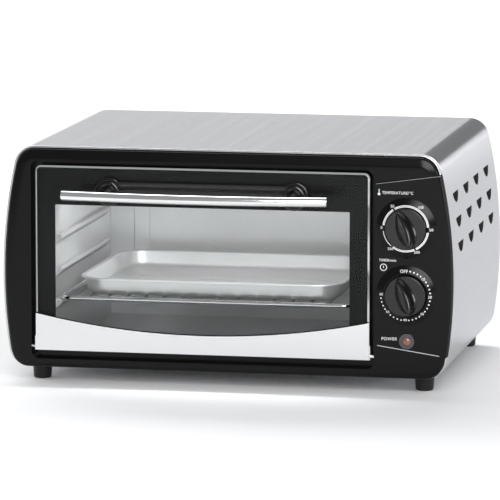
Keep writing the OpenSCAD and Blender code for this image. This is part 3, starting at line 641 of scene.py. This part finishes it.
def halfMoon(bm, radius, height, x0, x1):
    # a segment of a disc with its straight edge up, on the yz plane, from x0 to x1
    half = math.degrees(math.acos((radius - height) / radius))
    before = set(bm.edges)
    start = bm.verts.new((x0, -radius * math.sin(math.radians(half)), 0))
    made = bmesh.ops.spin(
        bm, geom=[start], cent=(x0, 0, radius - height), axis=(1, 0, 0), dvec=(0, 0, 0),
        angle=math.radians(2 * half), steps=16, use_merge=False, use_duplicate=False,
    )
    bm.edges.new((start, vertsIn(made["geom_last"])[-1]))
    face = bmesh.ops.edgeloop_fill(bm, edges=newEdges(bm, before))["faces"]
    extrudeBy(bm, face, (x1 - x0, 0, 0))


def louvrePlaces():
    pitch = (louvre["last"] - louvre["first"]) / (louvre["count"] - 1)
    for z in louvre["tops"]:
        tilt = math.asin((z - section["bellyZ"]) / section["sideR"])
        for i in range(louvre["count"]):
            place = Matrix.Translation((sideX(z), louvre["first"] + i * pitch, z))
            yield place @ Matrix.Rotation(-tilt, 4, "Y")


def roundNormals(piece):
    # the skin keeps the true direction of its arcs, so cut holes leave no dents in the shine
    mesh = piece.data
    (xb, zb, ab), (cx, cz), (xt, zt, at) = sectionArcs(0, 0)
    normals = []
    for corner in mesh.loops:
        own = mesh.corner_normals[corner.index].vector.copy()
        p = mesh.vertices[corner.vertex_index].co
        side = 1 if p.x > 0 else -1
        x, z = abs(p.x), p.z
        angle = math.degrees(math.atan2(z - cz, x - cx))
        if angle > at:
            true = Vector((x - xt, 0, z - zt)) if x > xt else Vector((0, 0, 1))
        elif angle < ab:
            true = Vector((x - xb, 0, z - zb)) if x > xb else Vector((0, 0, -1))
        else:
            true = Vector((x - cx, 0, z - cz))
        true.x *= side
        true.normalize()
        normals.append(true if own.dot(true) > wrap["nearTrue"] else own)
    mesh.normals_split_custom_set(normals)


def makeWrap():
    w, sheet, hem = wrap, wrap["sheet"], wrap["hem"]
    bead = hem / 2
    front = w["front"]
    profile = [(w["back"], 0), (w["grooveBack"], 0)]  # y, inset, lower edge where it isn't the inset
    profile += [(w["grooveBack"] - forward, depth) for forward, depth in w["grooveDown"]]
    profile += [(front + hem + behind, depth) for behind, depth in w["grooveUp"]]
    for i in range(1, w["beadSteps"]):
        a = math.radians(180 * i / w["beadSteps"])
        profile.append((front + bead - bead * math.sin(a), bead - bead * math.cos(a)))
    profile += [
        (front + w["hemLength"], hem), (front + w["hemLength"], sheet),
        (w["back"] - 2 * w["rearStep"], sheet),
        (w["back"] - 2 * w["rearStep"], sheet + w["flange"], sheet),
        (w["back"] - w["rearStep"], sheet + w["flange"], sheet),
        (w["back"] - w["rearStep"], sheet), (w["back"], sheet),
    ]
    bm = bmesh.new()
    rings = []
    for y, inset, *low in profile:
        rings.append(sectionRing(bm, inset, y, low[0] if low else inset, w["flangeX"]))
    bridgeAll(bm, rings, closed=True)
    bmesh.ops.holes_fill(bm, edges=[e for e in bm.edges if len(e.link_faces) == 1], sides=0)
    piece = makeObject("wrap_shell", bm, [finish["wrap_steel"]])
    cutter = bmesh.new()
    for place in louvrePlaces():
        before = set(cutter.verts)
        halfMoon(cutter, louvre["radius"], louvre["height"], -louvre["cut"], louvre["cut"])
        bmesh.ops.transform(cutter, matrix=place, verts=newVerts(cutter, before))
    inner, outer, play = panelEdge["inner"], panelEdge["outer"] + w["slotPast"], w["slotPlay"]
    slotFront, slotBack = w["slot"]
    corners = [
        (inner, lowerEdge(inner) - play), (outer, lowerEdge(outer) - play),
        (outer, upperEdge(outer) + play), (inner, upperEdge(inner) + play),
    ]
    face = cutter.faces.new([cutter.verts.new((x, slotFront, z)) for x, z in corners])
    extrudeBy(cutter, [face], (0, slotBack - slotFront, 0))
    carve(piece, cutter)
    shade(piece, 35)
    roundNormals(piece)
    piece.data.transform(toRow)
    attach(piece, "housing")
    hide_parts("outer_wrap")
    print("piece", piece.name, len(piece.data.polygons), "faces")


def makeScoops():
    # pressed bowls behind the louvre slots, open at the top, in a near-black steel that paints the shade
    # inside the slots
    bm = bmesh.new()
    v = louvre
    across = v["radius"] + v["bowlRoom"]
    cuts = (((0, 0, v["bowlTop"]), (0, 0, 1)), ((-v["bowlMouth"], 0, 0), (1, 0, 0)))
    for place in louvrePlaces():
        before = set(bm.verts)
        made = bmesh.ops.create_uvsphere(bm, u_segments=24, v_segments=14, radius=1)["verts"]
        bmesh.ops.scale(bm, verts=made, vec=(v["sink"], across, across))
        bmesh.ops.translate(bm, verts=made, vec=(-v["bowlBack"], 0, v["radius"] - v["height"]))
        fresh = newVerts(bm, before)
        for co, no in cuts:
            geom = fresh + [e for e in bm.edges if e.verts[0] in fresh]
            geom += [f for f in bm.faces if f.verts[0] in fresh]
            bmesh.ops.bisect_plane(bm, geom=geom, plane_co=co, plane_no=no, clear_outer=True)
            fresh = newVerts(bm, before)
        bmesh.ops.transform(bm, matrix=place, verts=fresh)
    piece = makeObject("louvre_scoops", bm, [louvreShadeSteel])
    modify(piece, "SOLIDIFY", thickness=v["bowlSheet"], offset=0)
    finishPiece(piece, "housing", "wrap_steel", weighted=False)


makeWrap()
makeScoops()


# front frame

doorLow, doorHigh = local("door_glass")
frameBack = local("front_frame")[1].y
moulding = {
    "inset": 2.35,
    "wall": 2.5,
    "recess": (-168.4, 128.0, 7.5, 177.8),
    "recessR": 6.0,
    "recessDepth": 10.0,
    "opening": (-152.4, 112.0, 22.2, 163.8),
    "openingR": 4.0,
    "edge": 0.9,
    # the crowned margin from the hem inwards: distance in, distance back; its lower edge rises less
    "lowerShare": 0.5,
    "lowerMost": 4.4,
    "crown": ((0.0, 4.2), (0.15, 2.9), (0.7, 1.9), (1.8, 1.25), (6.2, 0.28), (7.6, 0.06), (8.8, 0.0)),
}


def makeFrontFrame():
    m = moulding
    bm = bmesh.new()
    rings = [sectionRing(bm, m["inset"], frameBack, 0.0)]
    for inward, back in m["crown"]:
        low = min(inward * m["lowerShare"], m["lowerMost"])
        rings.append(sectionRing(bm, m["inset"] + inward, back, low))
    bridgeAll(bm, rings)
    recess = roundedRing(bm, *m["recess"], m["recessR"], 0)
    bridge(bm, rings[-1], recess)
    floor = roundedRing(bm, *m["recess"], m["recessR"], m["recessDepth"])
    bridge(bm, recess, floor)
    opening = roundedRing(bm, *m["opening"], m["openingR"], m["recessDepth"])
    bridge(bm, floor, opening)
    back = roundedRing(bm, *m["opening"], m["openingR"], frameBack)
    bridge(bm, opening, back)
    bmesh.ops.recalc_face_normals(bm, faces=bm.faces)
    piece = makeObject("frame_moulding", bm, [finish["black_gloss"]], closed=False)
    modify(piece, "SOLIDIFY", thickness=m["wall"], offset=-1, use_even_offset=True)
    modify(
        piece, "BEVEL", width=m["edge"], segments=4, limit_method="ANGLE", angle_limit=math.radians(50)
    )
    finishPiece(piece, "housing", "black_gloss", "front_frame", degrees=60)


makeFrontFrame()


# control panel

knobLow, knobHigh = local("thermostat_knob")
timerLow, timerHigh = local("timer_knob")
dialX = (knobLow.x + knobHigh.x) / 2
dials = {
    "thermostat": (dialX, (knobLow.z + knobHigh.z) / 2),
    "timer": (dialX, (timerLow.z + timerHigh.z) / 2),
}
surround = {
    "foot": 25.7, "top": 19.0, "lift": 3.0, "well": 17.8, "front": -2.0, "sunk": 0.5,
    # the rounding of the foot, of the lip and of the well's edge
    "footRound": 0.35, "footRise": 0.34, "round": 0.45, "lip": 0.5, "lipDrop": 0.12, "lipCrown": 0.02,
    "wellRound": 0.15, "wellDrop": 0.4,
}
panel = {
    "front": -2.0, "roll": 3.0, "rollSteps": 6, "skirt": 10.0, "skirtFront": -0.3, "skirtWall": 2.2,
    "edge": 0.45, "arcSteps": 26,
}


def panelRing(bm, y, inset):
    # inset draws in only the right-hand edge, which rolls back into the skirt
    e = panelEdge
    low = lowerEdge(sideX(lowerEdge(e["lowCornerX"]), inset))
    top = upperEdge(sideX(upperEdge(e["topCornerX"]), inset))
    cx, cz = section["halfW"] - section["sideR"], section["bellyZ"]
    a0 = math.degrees(math.asin((low - cz) / (section["sideR"] - inset)))
    a1 = math.degrees(math.asin((top - cz) / (section["sideR"] - inset)))
    before = set(bm.edges)
    start = bm.verts.new((e["inner"], y, e["lowIn"]))
    right = Vector((sideX(low, inset), y, low))
    vert = lineTo(bm, start, right - start.co)
    vert = arcTo(bm, vert, (cx, y, cz), a1 - a0, panel["arcSteps"])
    vert = lineTo(bm, vert, Vector((e["inner"], y, e["topIn"])) - vert.co)
    bm.edges.new((vert, start))
    return newEdges(bm, before)


def addSkirt(bm):
    # the skirt wraps round the side of the casing
    wall, y = panel["skirtWall"], panel["skirtFront"]
    low, top = lowerEdge(panelEdge["lowCornerX"]), upperEdge(panelEdge["topCornerX"])
    sideR = section["sideR"]
    cx, cz = section["halfW"] - sideR, section["bellyZ"]
    a0, a1 = math.asin((low - cz) / sideR), math.asin((top - cz) / sideR)
    turn = math.degrees(a1) - math.degrees(a0)
    inner = sideR - wall
    before = set(bm.edges)
    start = bm.verts.new((cx + inner * math.cos(a0), y, cz + inner * math.sin(a0)))
    vert = lineTo(bm, start, Vector((sideX(low), y, low)) - start.co)
    outer = arcTo(bm, vert, (cx, y, cz), turn, panel["arcSteps"])
    back = lineTo(bm, outer, Vector((math.cos(a1), 0, math.sin(a1))) * -wall)
    end = arcTo(bm, back, (cx, y, cz), -turn, panel["arcSteps"])
    bmesh.ops.pointmerge(bm, verts=[start, end], merge_co=start.co)
    extrudeBy(bm, cap(bm, newEdges(bm, before)), (0, panel["skirt"] - y, 0))


def surroundOutline():
    # radius and y, up the foot and the slope, over the lip and down into the well
    s = surround
    front, top = s["front"], s["front"] - s["lift"]
    return [
        (s["foot"], front + s["sunk"]), (s["foot"], front - s["lipDrop"]),
        (s["foot"] - s["footRound"], front - s["footRise"]), (s["top"] + s["round"], top + s["lipDrop"]),
        (s["top"], top - s["lipCrown"]), (s["top"] - s["lip"], top),
        (s["well"] + s["wellRound"], top + s["wellRound"]), (s["well"], top + s["wellDrop"]),
        (s["well"], front + s["sunk"]), (s["foot"], front + s["sunk"]),
    ]


def makePanel():
    p = panel
    bm = bmesh.new()
    rings = [panelRing(bm, 0, 0)]
    for i in range(p["rollSteps"] + 1):
        a = math.radians(90 * i / p["rollSteps"])
        rings.append(panelRing(bm, p["front"] * math.sin(a), p["roll"] * (1 - math.cos(a))))
    bridgeAll(bm, rings)
    cap(bm, rings[0])
    cap(bm, rings[-1])
    bmesh.ops.recalc_face_normals(bm, faces=bm.faces)
    bevelSharp(bm, p["edge"], 3, 45)
    glossFaces = set(bm.faces)
    addSkirt(bm)
    for face in bm.faces:
        face.material_index = 0 if face in glossFaces else 1
    for centre in dials.values():
        spinProfile(bm, surroundOutline(), centre)
    piece = makeObject("panel_moulding", bm, [finish["black_gloss"], mattBlack])
    finishPiece(piece, "housing", "black_gloss", "control_panel", degrees=32)


# lines of light grey ink along the slanted edges, painting their highlights: edge, from x, to x, distance
# above the edge, width
highlightStripes = ((upperEdge, 130.0, 184.5, -0.55, 0.22), (lowerEdge, 131.0, 184.0, 0.8, 0.62))
highlightStripeThick = 0.06


def makeHighlightStripes():
    bm = bmesh.new()
    y = panel["front"]
    for edge, x0, x1, shift, width in highlightStripes:
        low, high = shift - width / 2, shift + width / 2
        corners = ((x0, low), (x1, low), (x1, high), (x0, high))
        face = bm.faces.new([bm.verts.new((x, y, edge(x) + rise)) for x, rise in corners])
        extrudeBy(bm, [face], (0, -highlightStripeThick, 0))
    finishPiece(makeObject("panel_painted_highlights", bm, [highlightInk]), "housing", "ceramic", weighted=False)


makePanel()
makeHighlightStripes()


# printed scales and words

ink = {
    "thick": 0.07, "under": 0.03, "over": 0.2, "swell": 0.01, "spacing": 1.08, "number": 3.2, "off": 3.68,
    # thermostat: a ring broken at the numbers, with a thin tail; degrees run clockwise from the top
    "ringR": 19.0, "stroke": 1.7,
    "arcs": ((-82.4, -34.2), (-29.8, 36.0), (36.0, 85.4), (98.6, 152.8), (157.2, 214.8)),
    "tailR": 19.2, "tailStroke": 0.5, "tail": (220.0, 263.0),
    "numberR": 21.9, "sideNumberR": 20.6,
    # timer: dots between the numbers, the first ones clear of the word
    "timerR": 20.6, "dotR": 21.0, "dot": 0.66, "dots": 4, "clearOfWord": 6.0,
}


def coneY(r):
    # height of the sloping surround at a radius
    s = surround
    footR = s["foot"] - s["footRound"]
    run = footR - (s["top"] + s["round"])
    slope = (s["lift"] - s["footRise"] - s["lipDrop"]) / run
    return s["front"] - s["footRise"] - max(0.0, min(run, footR - r)) * slope


def layOnCone(verts, centre):
    for v in verts:
        r = math.hypot(v.co.x - centre[0], v.co.z - centre[1])
        v.co.y += coneY(r)


def onDial(centre, degrees, radius):
    turn = math.radians(degrees)
    return centre[0] + radius * math.sin(turn), centre[1] + radius * math.cos(turn)


def arcInk(bm, centre, fromDeg, toDeg, radius, stroke):
    x, z = centre
    r0, r1 = radius - stroke / 2, radius + stroke / 2
    before = set(bm.verts)
    under, over = ink["under"], -ink["over"]
    corners = ((r0, under), (r1, under), (r1, over), (r0, over))
    verts = [bm.verts.new((x, y, z + r)) for r, y in corners]
    face = bm.faces.new(verts)
    bmesh.ops.rotate(bm, verts=verts, cent=(x, 0, z), matrix=Matrix.Rotation(math.radians(fromDeg), 3, "Y"))
    steps = max(2, round(abs(toDeg - fromDeg) / 4))
    bmesh.ops.spin(
        bm, geom=[face], cent=(x, 0, z), axis=(0, 1, 0), dvec=(0, 0, 0),
        angle=math.radians(toDeg - fromDeg), steps=steps, use_merge=False, use_duplicate=False,
    )
    return newVerts(bm, before)


upright = Matrix.Rotation(math.radians(90), 4, "X")  # stands a flat drawing up, facing the front


def inkText(bm, words, size, x, z, y=0.0, align="CENTER", squeeze=1.0, onCone=None):
    curve = bpy.data.curves.new("words", "FONT")
    curve.body = words
    curve.size = size
    curve.extrude = ink["thick"]
    curve.align_x, curve.align_y = align, "CENTER"
    curve.offset = ink["swell"]
    curve.space_character = ink["spacing"]
    holder = bpy.data.objects.new("words", curve)
    bpy.context.collection.objects.link(holder)
    mesh = bpy.data.meshes.new_from_object(holder.evaluated_get(bpy.context.evaluated_depsgraph_get()))
    bpy.data.objects.remove(holder)
    mesh.transform(Matrix.Translation((x, y, z)) @ upright @ Matrix.Diagonal((squeeze, 1, 1, 1)))
    before = set(bm.verts)
    bm.from_mesh(mesh)
    if onCone:
        layOnCone(newVerts(bm, before), onCone)


def inkDisc(bm, x, y, z, radius, segments):
    return bmesh.ops.create_cone(
        bm, cap_ends=True, segments=segments, radius1=radius, radius2=radius, depth=2 * ink["thick"],
        matrix=Matrix.Translation((x, y, z)) @ upright,
    )["verts"]


scales = {
    "thermostat": {"0": -89, "50": -32, "100": 34, "150": 92, "200": 155, "250": 217},
    "timer": {"OFF": -4, "10": 46, "20": 92, "30": 137, "40": 181, "50": 227, "60": 272},
}


def makeDialInk():
    bm = bmesh.new()
    centre = dials["thermostat"]
    for first, last in ink["arcs"]:
        layOnCone(arcInk(bm, centre, first, last, ink["ringR"], ink["stroke"]), centre)
    layOnCone(arcInk(bm, centre, *ink["tail"], ink["tailR"], ink["tailStroke"]), centre)
    for words, degrees in scales["thermostat"].items():
        radius = ink["sideNumberR"] if words in ("0", "150") else ink["numberR"]
        inkText(bm, words, ink["number"], *onDial(centre, degrees, radius), onCone=centre)
    centre = dials["timer"]
    marks = list(scales["timer"].items())
    for words, degrees in marks:
        size = ink["off"] if words == "OFF" else ink["number"]
        inkText(bm, words, size, *onDial(centre, degrees, ink["timerR"]), onCone=centre)
    for (words, a), (_, b) in zip(marks, marks[1:]):
        start = a + (ink["clearOfWord"] if words == "OFF" else 0)
        for i in range(1, ink["dots"] + 1):
            x, z = onDial(centre, start + (b - start) * i / (ink["dots"] + 1), ink["dotR"])
            layOnCone(inkDisc(bm, x, 0, z, ink["dot"], 12), centre)
    piece = makeObject("dial_scales", bm, [whiteInk], closed=False)
    finishPiece(piece, "housing", "ceramic", weighted=False)


# words: text, size, left end, height of the middle, width factor
panelWords = (
    ("TEMPERATURE/°C", 3.4, 134.8, 158.0, 0.92),
    ("TIMER/min", 3.1, 132.4, 100.9, 0.98),
    ("POWER", 3.7, 134.6, 34.2, 1.0),
)
# signs: x and z of centres, and x0, x1, z0, z1 of strokes
signs = {
    "bulb": (132.3, 157.0), "bulbR": 1.15, "stem": (132.0, 132.6, 157.6, 161.2),
    "clock": (136.3, 95.0), "clockR": 2.75, "clockStroke": 0.5, "hand": (136.1, 136.5, 94.2, 96.4),
}


def makePanelInk():
    y, thick = panel["front"] - 0.01, ink["thick"]
    bm = bmesh.new()
    for words, size, x, z, squeeze in panelWords:
        inkText(bm, words, size, x, z, y, "LEFT", squeeze)
    x, z = signs["bulb"]
    inkDisc(bm, x, y, z, signs["bulbR"], 20)
    arcs = arcInk(bm, signs["clock"], 0, 359.9, signs["clockR"], signs["clockStroke"])
    bmesh.ops.translate(bm, verts=arcs, vec=(0, y, 0))
    for x0, x1, z0, z1 in (signs["stem"], signs["hand"]):
        block(bm, x0, x1, y - thick, y + thick, z0, z1)
    piece = makeObject("panel_words", bm, [whiteInk], closed=False)
    finishPiece(piece, "housing", "ceramic", weighted=False)


makeDialInk()
makePanelInk()


# dials

knob = {
    # near and half are the shares of the edge that round it off
    "radius": 17.3, "back": -3.3, "backEdge": 0.4, "face": -8.3, "edge": 0.9, "near": 0.13, "half": 0.5,
    "peak": 0.15, "top": -19.1, "length": 16.5, "width": 8.0, "lean": -20.0, "point": 0.62, "full": 0.2,
    # how the leaf narrows as it rises: share of the height, of the width, of the length
    "leaf": (
        (-0.06, 1.0, 1.0), (0.02, 0.99, 0.995), (0.06, 0.93, 0.98), (0.13, 0.84, 0.965),
        (0.24, 0.75, 0.955), (0.40, 0.66, 0.945), (0.58, 0.57, 0.935), (0.74, 0.47, 0.92),
        (0.86, 0.36, 0.90), (0.94, 0.24, 0.87), (1.0, 0.08, 0.82),
    ),
}


def leafRing(bm, y, width, length):
    # a pointed oval, fuller at its lower end
    before = set(bm.edges)
    made = bmesh.ops.create_circle(
        bm, cap_ends=False, segments=72, radius=1, matrix=Matrix.Rotation(math.radians(90), 4, "X")
    )["verts"]
    for v in made:
        side = max(0.0, 1 - v.co.z ** 2) ** knob["point"]
        v.co = (math.copysign(side * (1 - knob["full"] * v.co.z), v.co.x) * width, y, v.co.z * length)
    return newEdges(bm, before)


def makeKnob(name, centre, body, node):
    k, e = knob, knob["edge"]
    bm = bmesh.new()
    rise = k["top"] - k["face"]
    rings = [
        leafRing(bm, k["face"] + rise * up, k["width"] * width, k["length"] * length)
        for up, width, length in k["leaf"]
    ]
    bridgeAll(bm, rings)
    cap(bm, rings[0])
    bmesh.ops.poke(bm, faces=cap(bm, rings[-1]), offset=k["peak"])
    lean = Matrix.Rotation(math.radians(k["lean"]), 3, "Y")
    bmesh.ops.rotate(bm, verts=bm.verts, cent=(0, 0, 0), matrix=lean)
    r, back, face = k["radius"], k["back"], k["face"]
    spinProfile(bm, [
        (0, back), (r - k["backEdge"], back), (r, back - k["backEdge"]), (r, face + e),
        (r - e * k["near"], face + e * k["half"]), (r - e * k["half"], face + e * k["near"]),
        (r - e, face), (0, face),
    ], (0, 0), 96)
    bmesh.ops.translate(bm, verts=bm.verts, vec=(centre[0], 0, centre[1]))
    piece = makeObject(name, bm, [finish["knob_black"]])
    finishPiece(piece, body, "knob_black", node, degrees=50)


makeKnob("thermostat_dial_grip", dials["thermostat"], "thermostat_dial", "thermostat_knob")
makeKnob("timer_dial_grip", dials["timer"], "timer_dial", "timer_knob")


# door

pane = {
    "front": doorLow.y, "back": doorHigh.y, "cornerR": 5.0, "frontBevel": 1.5, "backBevel": 0.4,
    "bevelDepth": 0.75,  # depth of the front bevel as a share of its width
    "window": (-147.9, 106.3, 26.0, 140.0), "windowR": 0.5,
    "inkInset": 0.9, "inkThick": 0.1, "inkGap": 0.02,
}
stripLow, stripHigh = local("door_strip")
strip = {
    "sheet": 0.8, "endHeight": 31.8, "midHeight": 16.3, "rearHeight": 9.0, "edge": 0.22,
    "fit": 0.02, "lap": 0.1, "seal": 0.8, "shadowLineThick": 0.12,
}


def paneRing(bm, y, inset):
    return roundedRing(
        bm, doorLow.x + inset, doorHigh.x - inset, doorLow.z + inset, doorHigh.z - inset,
        pane["cornerR"] - inset, y,
    )


def makePane():
    p = pane
    bm = bmesh.new()
    rings = [
        paneRing(bm, y, inset) for y, inset in (
            (p["front"], p["frontBevel"]), (p["front"] + p["frontBevel"] * p["bevelDepth"], 0),
            (p["back"] - p["backBevel"], 0), (p["back"], p["backBevel"]),
        )
    ]
    bridgeAll(bm, rings)
    for face in bm.faces:
        face.material_index = 1
    for ring in (rings[0], rings[-1]):
        cap(bm, ring)
    piece = makeObject("door_pane", bm, [finish["door_glass"], edgeGlass])
    finishPiece(piece, "door", "door_glass", "door_glass", degrees=25, weighted=False)
    bm = bmesh.new()
    y = p["back"] + p["inkGap"]
    rings = [
        paneRing(bm, y, p["inkInset"]), paneRing(bm, y + p["inkThick"], p["inkInset"]),
        roundedRing(bm, *p["window"], p["windowR"], y + p["inkThick"]),
        roundedRing(bm, *p["window"], p["windowR"], y),
    ]
    bridgeAll(bm, rings, closed=True)
    piece = makeObject("door_border_print", bm, [blackPrintAndShadow])
    finishPiece(piece, "door", "knob_black", weighted=False)


def dippedFace(bm, y, rise):
    # the strip's outline with its dipped upper edge raised by rise
    t = strip
    x0, x1, z0 = stripLow.x, stripHigh.x, stripLow.z
    sag, half, mid = t["endHeight"] - t["midHeight"], (x1 - x0) / 2, (x0 + x1) / 2
    radius = (half ** 2 + sag ** 2) / (2 * sag)
    turn = math.degrees(math.asin(half / radius))
    before = set(bm.edges)
    start = bm.verts.new((x0, y, z0))
    vert = lineTo(bm, start, (x1 - x0, 0, 0))
    vert = lineTo(bm, vert, (0, 0, t["endHeight"] + rise))
    vert = arcTo(bm, vert, (mid, y, z0 + t["midHeight"] + rise + radius), -2 * turn, 64)
    bm.edges.new((vert, start))
    return cap(bm, newEdges(bm, before))


def makeStrip():
    # a front face, a sole under the glass and an upturned rear edge
    t = strip
    sheet = t["sheet"] - t["fit"]
    x0, x1, z0 = stripLow.x, stripHigh.x, stripLow.z
    bm = bmesh.new()
    extrudeBy(bm, dippedFace(bm, stripLow.y, 0), (0, sheet, 0))
    block(bm, x0, x1, pane["front"] - t["lap"], stripHigh.y, z0, z0 + sheet)
    block(bm, x0, x1, stripHigh.y - sheet, stripHigh.y, z0 + t["lap"], z0 + t["rearHeight"])
    bevelSharp(bm, t["edge"], 2, 60)
    finishPiece(makeObject("door_trim", bm, [finish["strip_steel"]]), "door", "strip_steel", "door_strip")
    # a thin black band standing just above the strip's dipped edge paints the shadow line between strip and
    # glass
    bm = bmesh.new()
    shadowLineFront = pane["front"] - t["fit"] - t["shadowLineThick"]
    extrudeBy(bm, dippedFace(bm, shadowLineFront, t["seal"]), (0, t["shadowLineThick"], 0))
    finishPiece(makeObject("trim_shadow_line", bm, [blackPrintAndShadow]), "door", "knob_black", weighted=False)


makePane()
makeStrip()


# handle base and posts

baseLow, baseHigh = local("handle_base")
handle = {
    "discR": (baseHigh.z - baseLow.z) / 2, "z": (baseLow.z + baseHigh.z) / 2,
    "bridgeH": 14.0, "bridgeT": 3.0, "bridgeUp": 2.0, "edge": 0.7,
    # the disc's face from its rim inwards: distance in from the rim, height over the glass
    "disc": (
        (0.2, 0.0), (0.0, 0.2), (0.0, 1.9), (0.25, 2.4), (0.8, 2.65), (1.9, 2.7), (2.2, 2.2),
        (2.6, 2.2), (2.9, 2.9), (3.4, 3.6), (4.2, 3.95), (5.2, 4.0),
    ),
}


def makeHandleBase():
    h = handle
    r, foot = h["discR"], pane["front"]
    left, right = baseLow.x + r, baseHigh.x - r
    bm = bmesh.new()
    low = h["z"] + h["bridgeUp"] - h["bridgeH"] / 2
    block(bm, left, right, foot - h["bridgeT"], foot, low, low + h["bridgeH"])
    bevelSharp(bm, h["edge"], 3)
    outline = [(r - inward, foot - rise) for inward, rise in h["disc"]]
    for x in (left, right):
        spinProfile(bm, [(0, foot)] + outline + [(0, outline[-1][1])], (x, h["z"]), 72)
    piece = makeObject("handle_base_moulding", bm, [handleGloss])
    finishPiece(piece, "door", "black_gloss", "handle_base", degrees=30)


post = {
    # radius and share of the way from the disc to the tube
    "profile": ((5.9, 0.0), (5.9, 0.05), (5.2, 0.13), (4.5, 0.33), (4.0, 0.6), (3.5, 0.85), (3.4, 1.0)),
}


def makePosts():
    # each post narrows towards the tube, so that the tube hides its end
    bm = bmesh.new()
    for node in ("handle_post_left", "handle_post_right"):
        low, high = local(node)
        reach = low.y - high.y
        centre = ((low.x + high.x) / 2, (low.z + high.z) / 2)
        outline = [(r, high.y + share * reach) for r, share in post["profile"]]
        spinProfile(bm, [(0, high.y)] + outline + [(0, low.y)], centre, 48)
    piece = makeObject("handle_posts", bm, [handleGloss])
    finishPiece(piece, "door", "knob_black", "handle_post_left", "handle_post_right", degrees=50)


makeHandleBase()
makePosts()


# baking tray

trayLow, trayHigh = local("baking_tray")
tray = {
    "cornerR": 26.0, "cornerSteps": 8, "sheet": 0.9,
    # the upper surface from the rim inwards: distance in, height over the tray's underside
    "profile": (
        (0.1, 13.2), (0.0, 13.9), (0.35, 14.6), (1.0, 14.95), (3.3, 14.95), (4.1, 14.7),
        (4.7, 13.9), (6.3, 4.6), (6.9, 2.9), (8.1, 1.6), (10.2, 0.98), (12.0, 0.92),
    ),
    # the two ribs' places are shares of the depth inside the rim
    "ribs": (0.36, 0.64), "rim": 4, "ribWidth": 7.0, "ribInset": 32.0, "ribEndFlat": 0.05,
    # a rib from its foot up: growth outwards, height over the tray's underside
    "ribProfile": ((0.9, 0.3), (0.6, 0.95), (0.0, 1.25), (-1.4, 1.8), (-2.2, 1.9)),
}
# a drawing in x and z is laid in x and y, and -y becomes up
layFlat = Matrix.Rotation(math.radians(-90), 3, "X")


def flatRing(bm, x0, x1, y0, y1, r, height):
    return roundedRing(bm, x0, x1, y0, y1, r, -height, tray["cornerSteps"])


def makeTray():
    t = tray
    low, high = trayLow, trayHigh
    bm = bmesh.new()
    rings = [
        flatRing(bm, low.x + d, high.x - d, low.y + d, high.y - d, t["cornerR"] - d, low.z + height)
        for d, height in t["profile"]
    ]
    bridgeAll(bm, rings)
    cap(bm, rings[-1])
    bmesh.ops.rotate(bm, verts=bm.verts, cent=(0, 0, 0), matrix=layFlat)
    bmesh.ops.recalc_face_normals(bm, faces=bm.faces)
    piece = makeObject("tray_pan", bm, [finish["tray_aluminium"]], closed=False)
    up = sum(f.normal.z for f in piece.data.polygons if abs(f.normal.z) > 0.9)
    modify(piece, "SOLIDIFY", thickness=t["sheet"], offset=-1 if up > 0 else 1, use_even_offset=True)
    finishPiece(piece, "tray", "tray_aluminium", "baking_tray", degrees=50)
    bm = bmesh.new()
    for share in t["ribs"]:
        y = low.y + t["rim"] + share * (high.y - low.y - 2 * t["rim"])
        rings = []
        for grow, height in t["ribProfile"]:
            w, inset = t["ribWidth"] / 2 + grow, t["ribInset"] - grow
            x0, x1 = low.x + inset, high.x - inset
            rings.append(flatRing(bm, x0, x1, y - w, y + w, w - t["ribEndFlat"], low.z + height))
        bridgeAll(bm, rings)
        cap(bm, rings[0])
        cap(bm, rings[-1])
    bmesh.ops.rotate(bm, verts=bm.verts, cent=(0, 0, 0), matrix=layFlat)
    piece = makeObject("tray_ribs", bm, [finish["tray_aluminium"]])
    finishPiece(piece, "tray", "tray_aluminium", degrees=60)


makeTray()


# pressed liner sheets with softened edges: the radius of each
soften = {"liner_left": 0.85, "liner_right": 0.85, "liner_back": 0.6}


def softenSheet(node, width):
    bm = bmesh.new()
    bm.from_mesh(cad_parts[node].data)
    bmesh.ops.remove_doubles(bm, verts=bm.verts, dist=1e-6)
    bmesh.ops.dissolve_limit(
        bm, angle_limit=math.radians(1), verts=bm.verts, edges=bm.edges,
        delimit=set(), use_dissolve_boundaries=False,
    )
    piece = makeObject(node + "_pressing", bm, [finish["liner_steel"]], closed=False)
    modify(
        piece, "BEVEL", width=width * mm, segments=3, limit_method="ANGLE", angle_limit=math.radians(30),
        use_clamp_overlap=True,
    )
    finishPiece(piece, "housing", "liner_steel", node, degrees=40, row=False)


for node, width in soften.items():
    softenSheet(node, width)
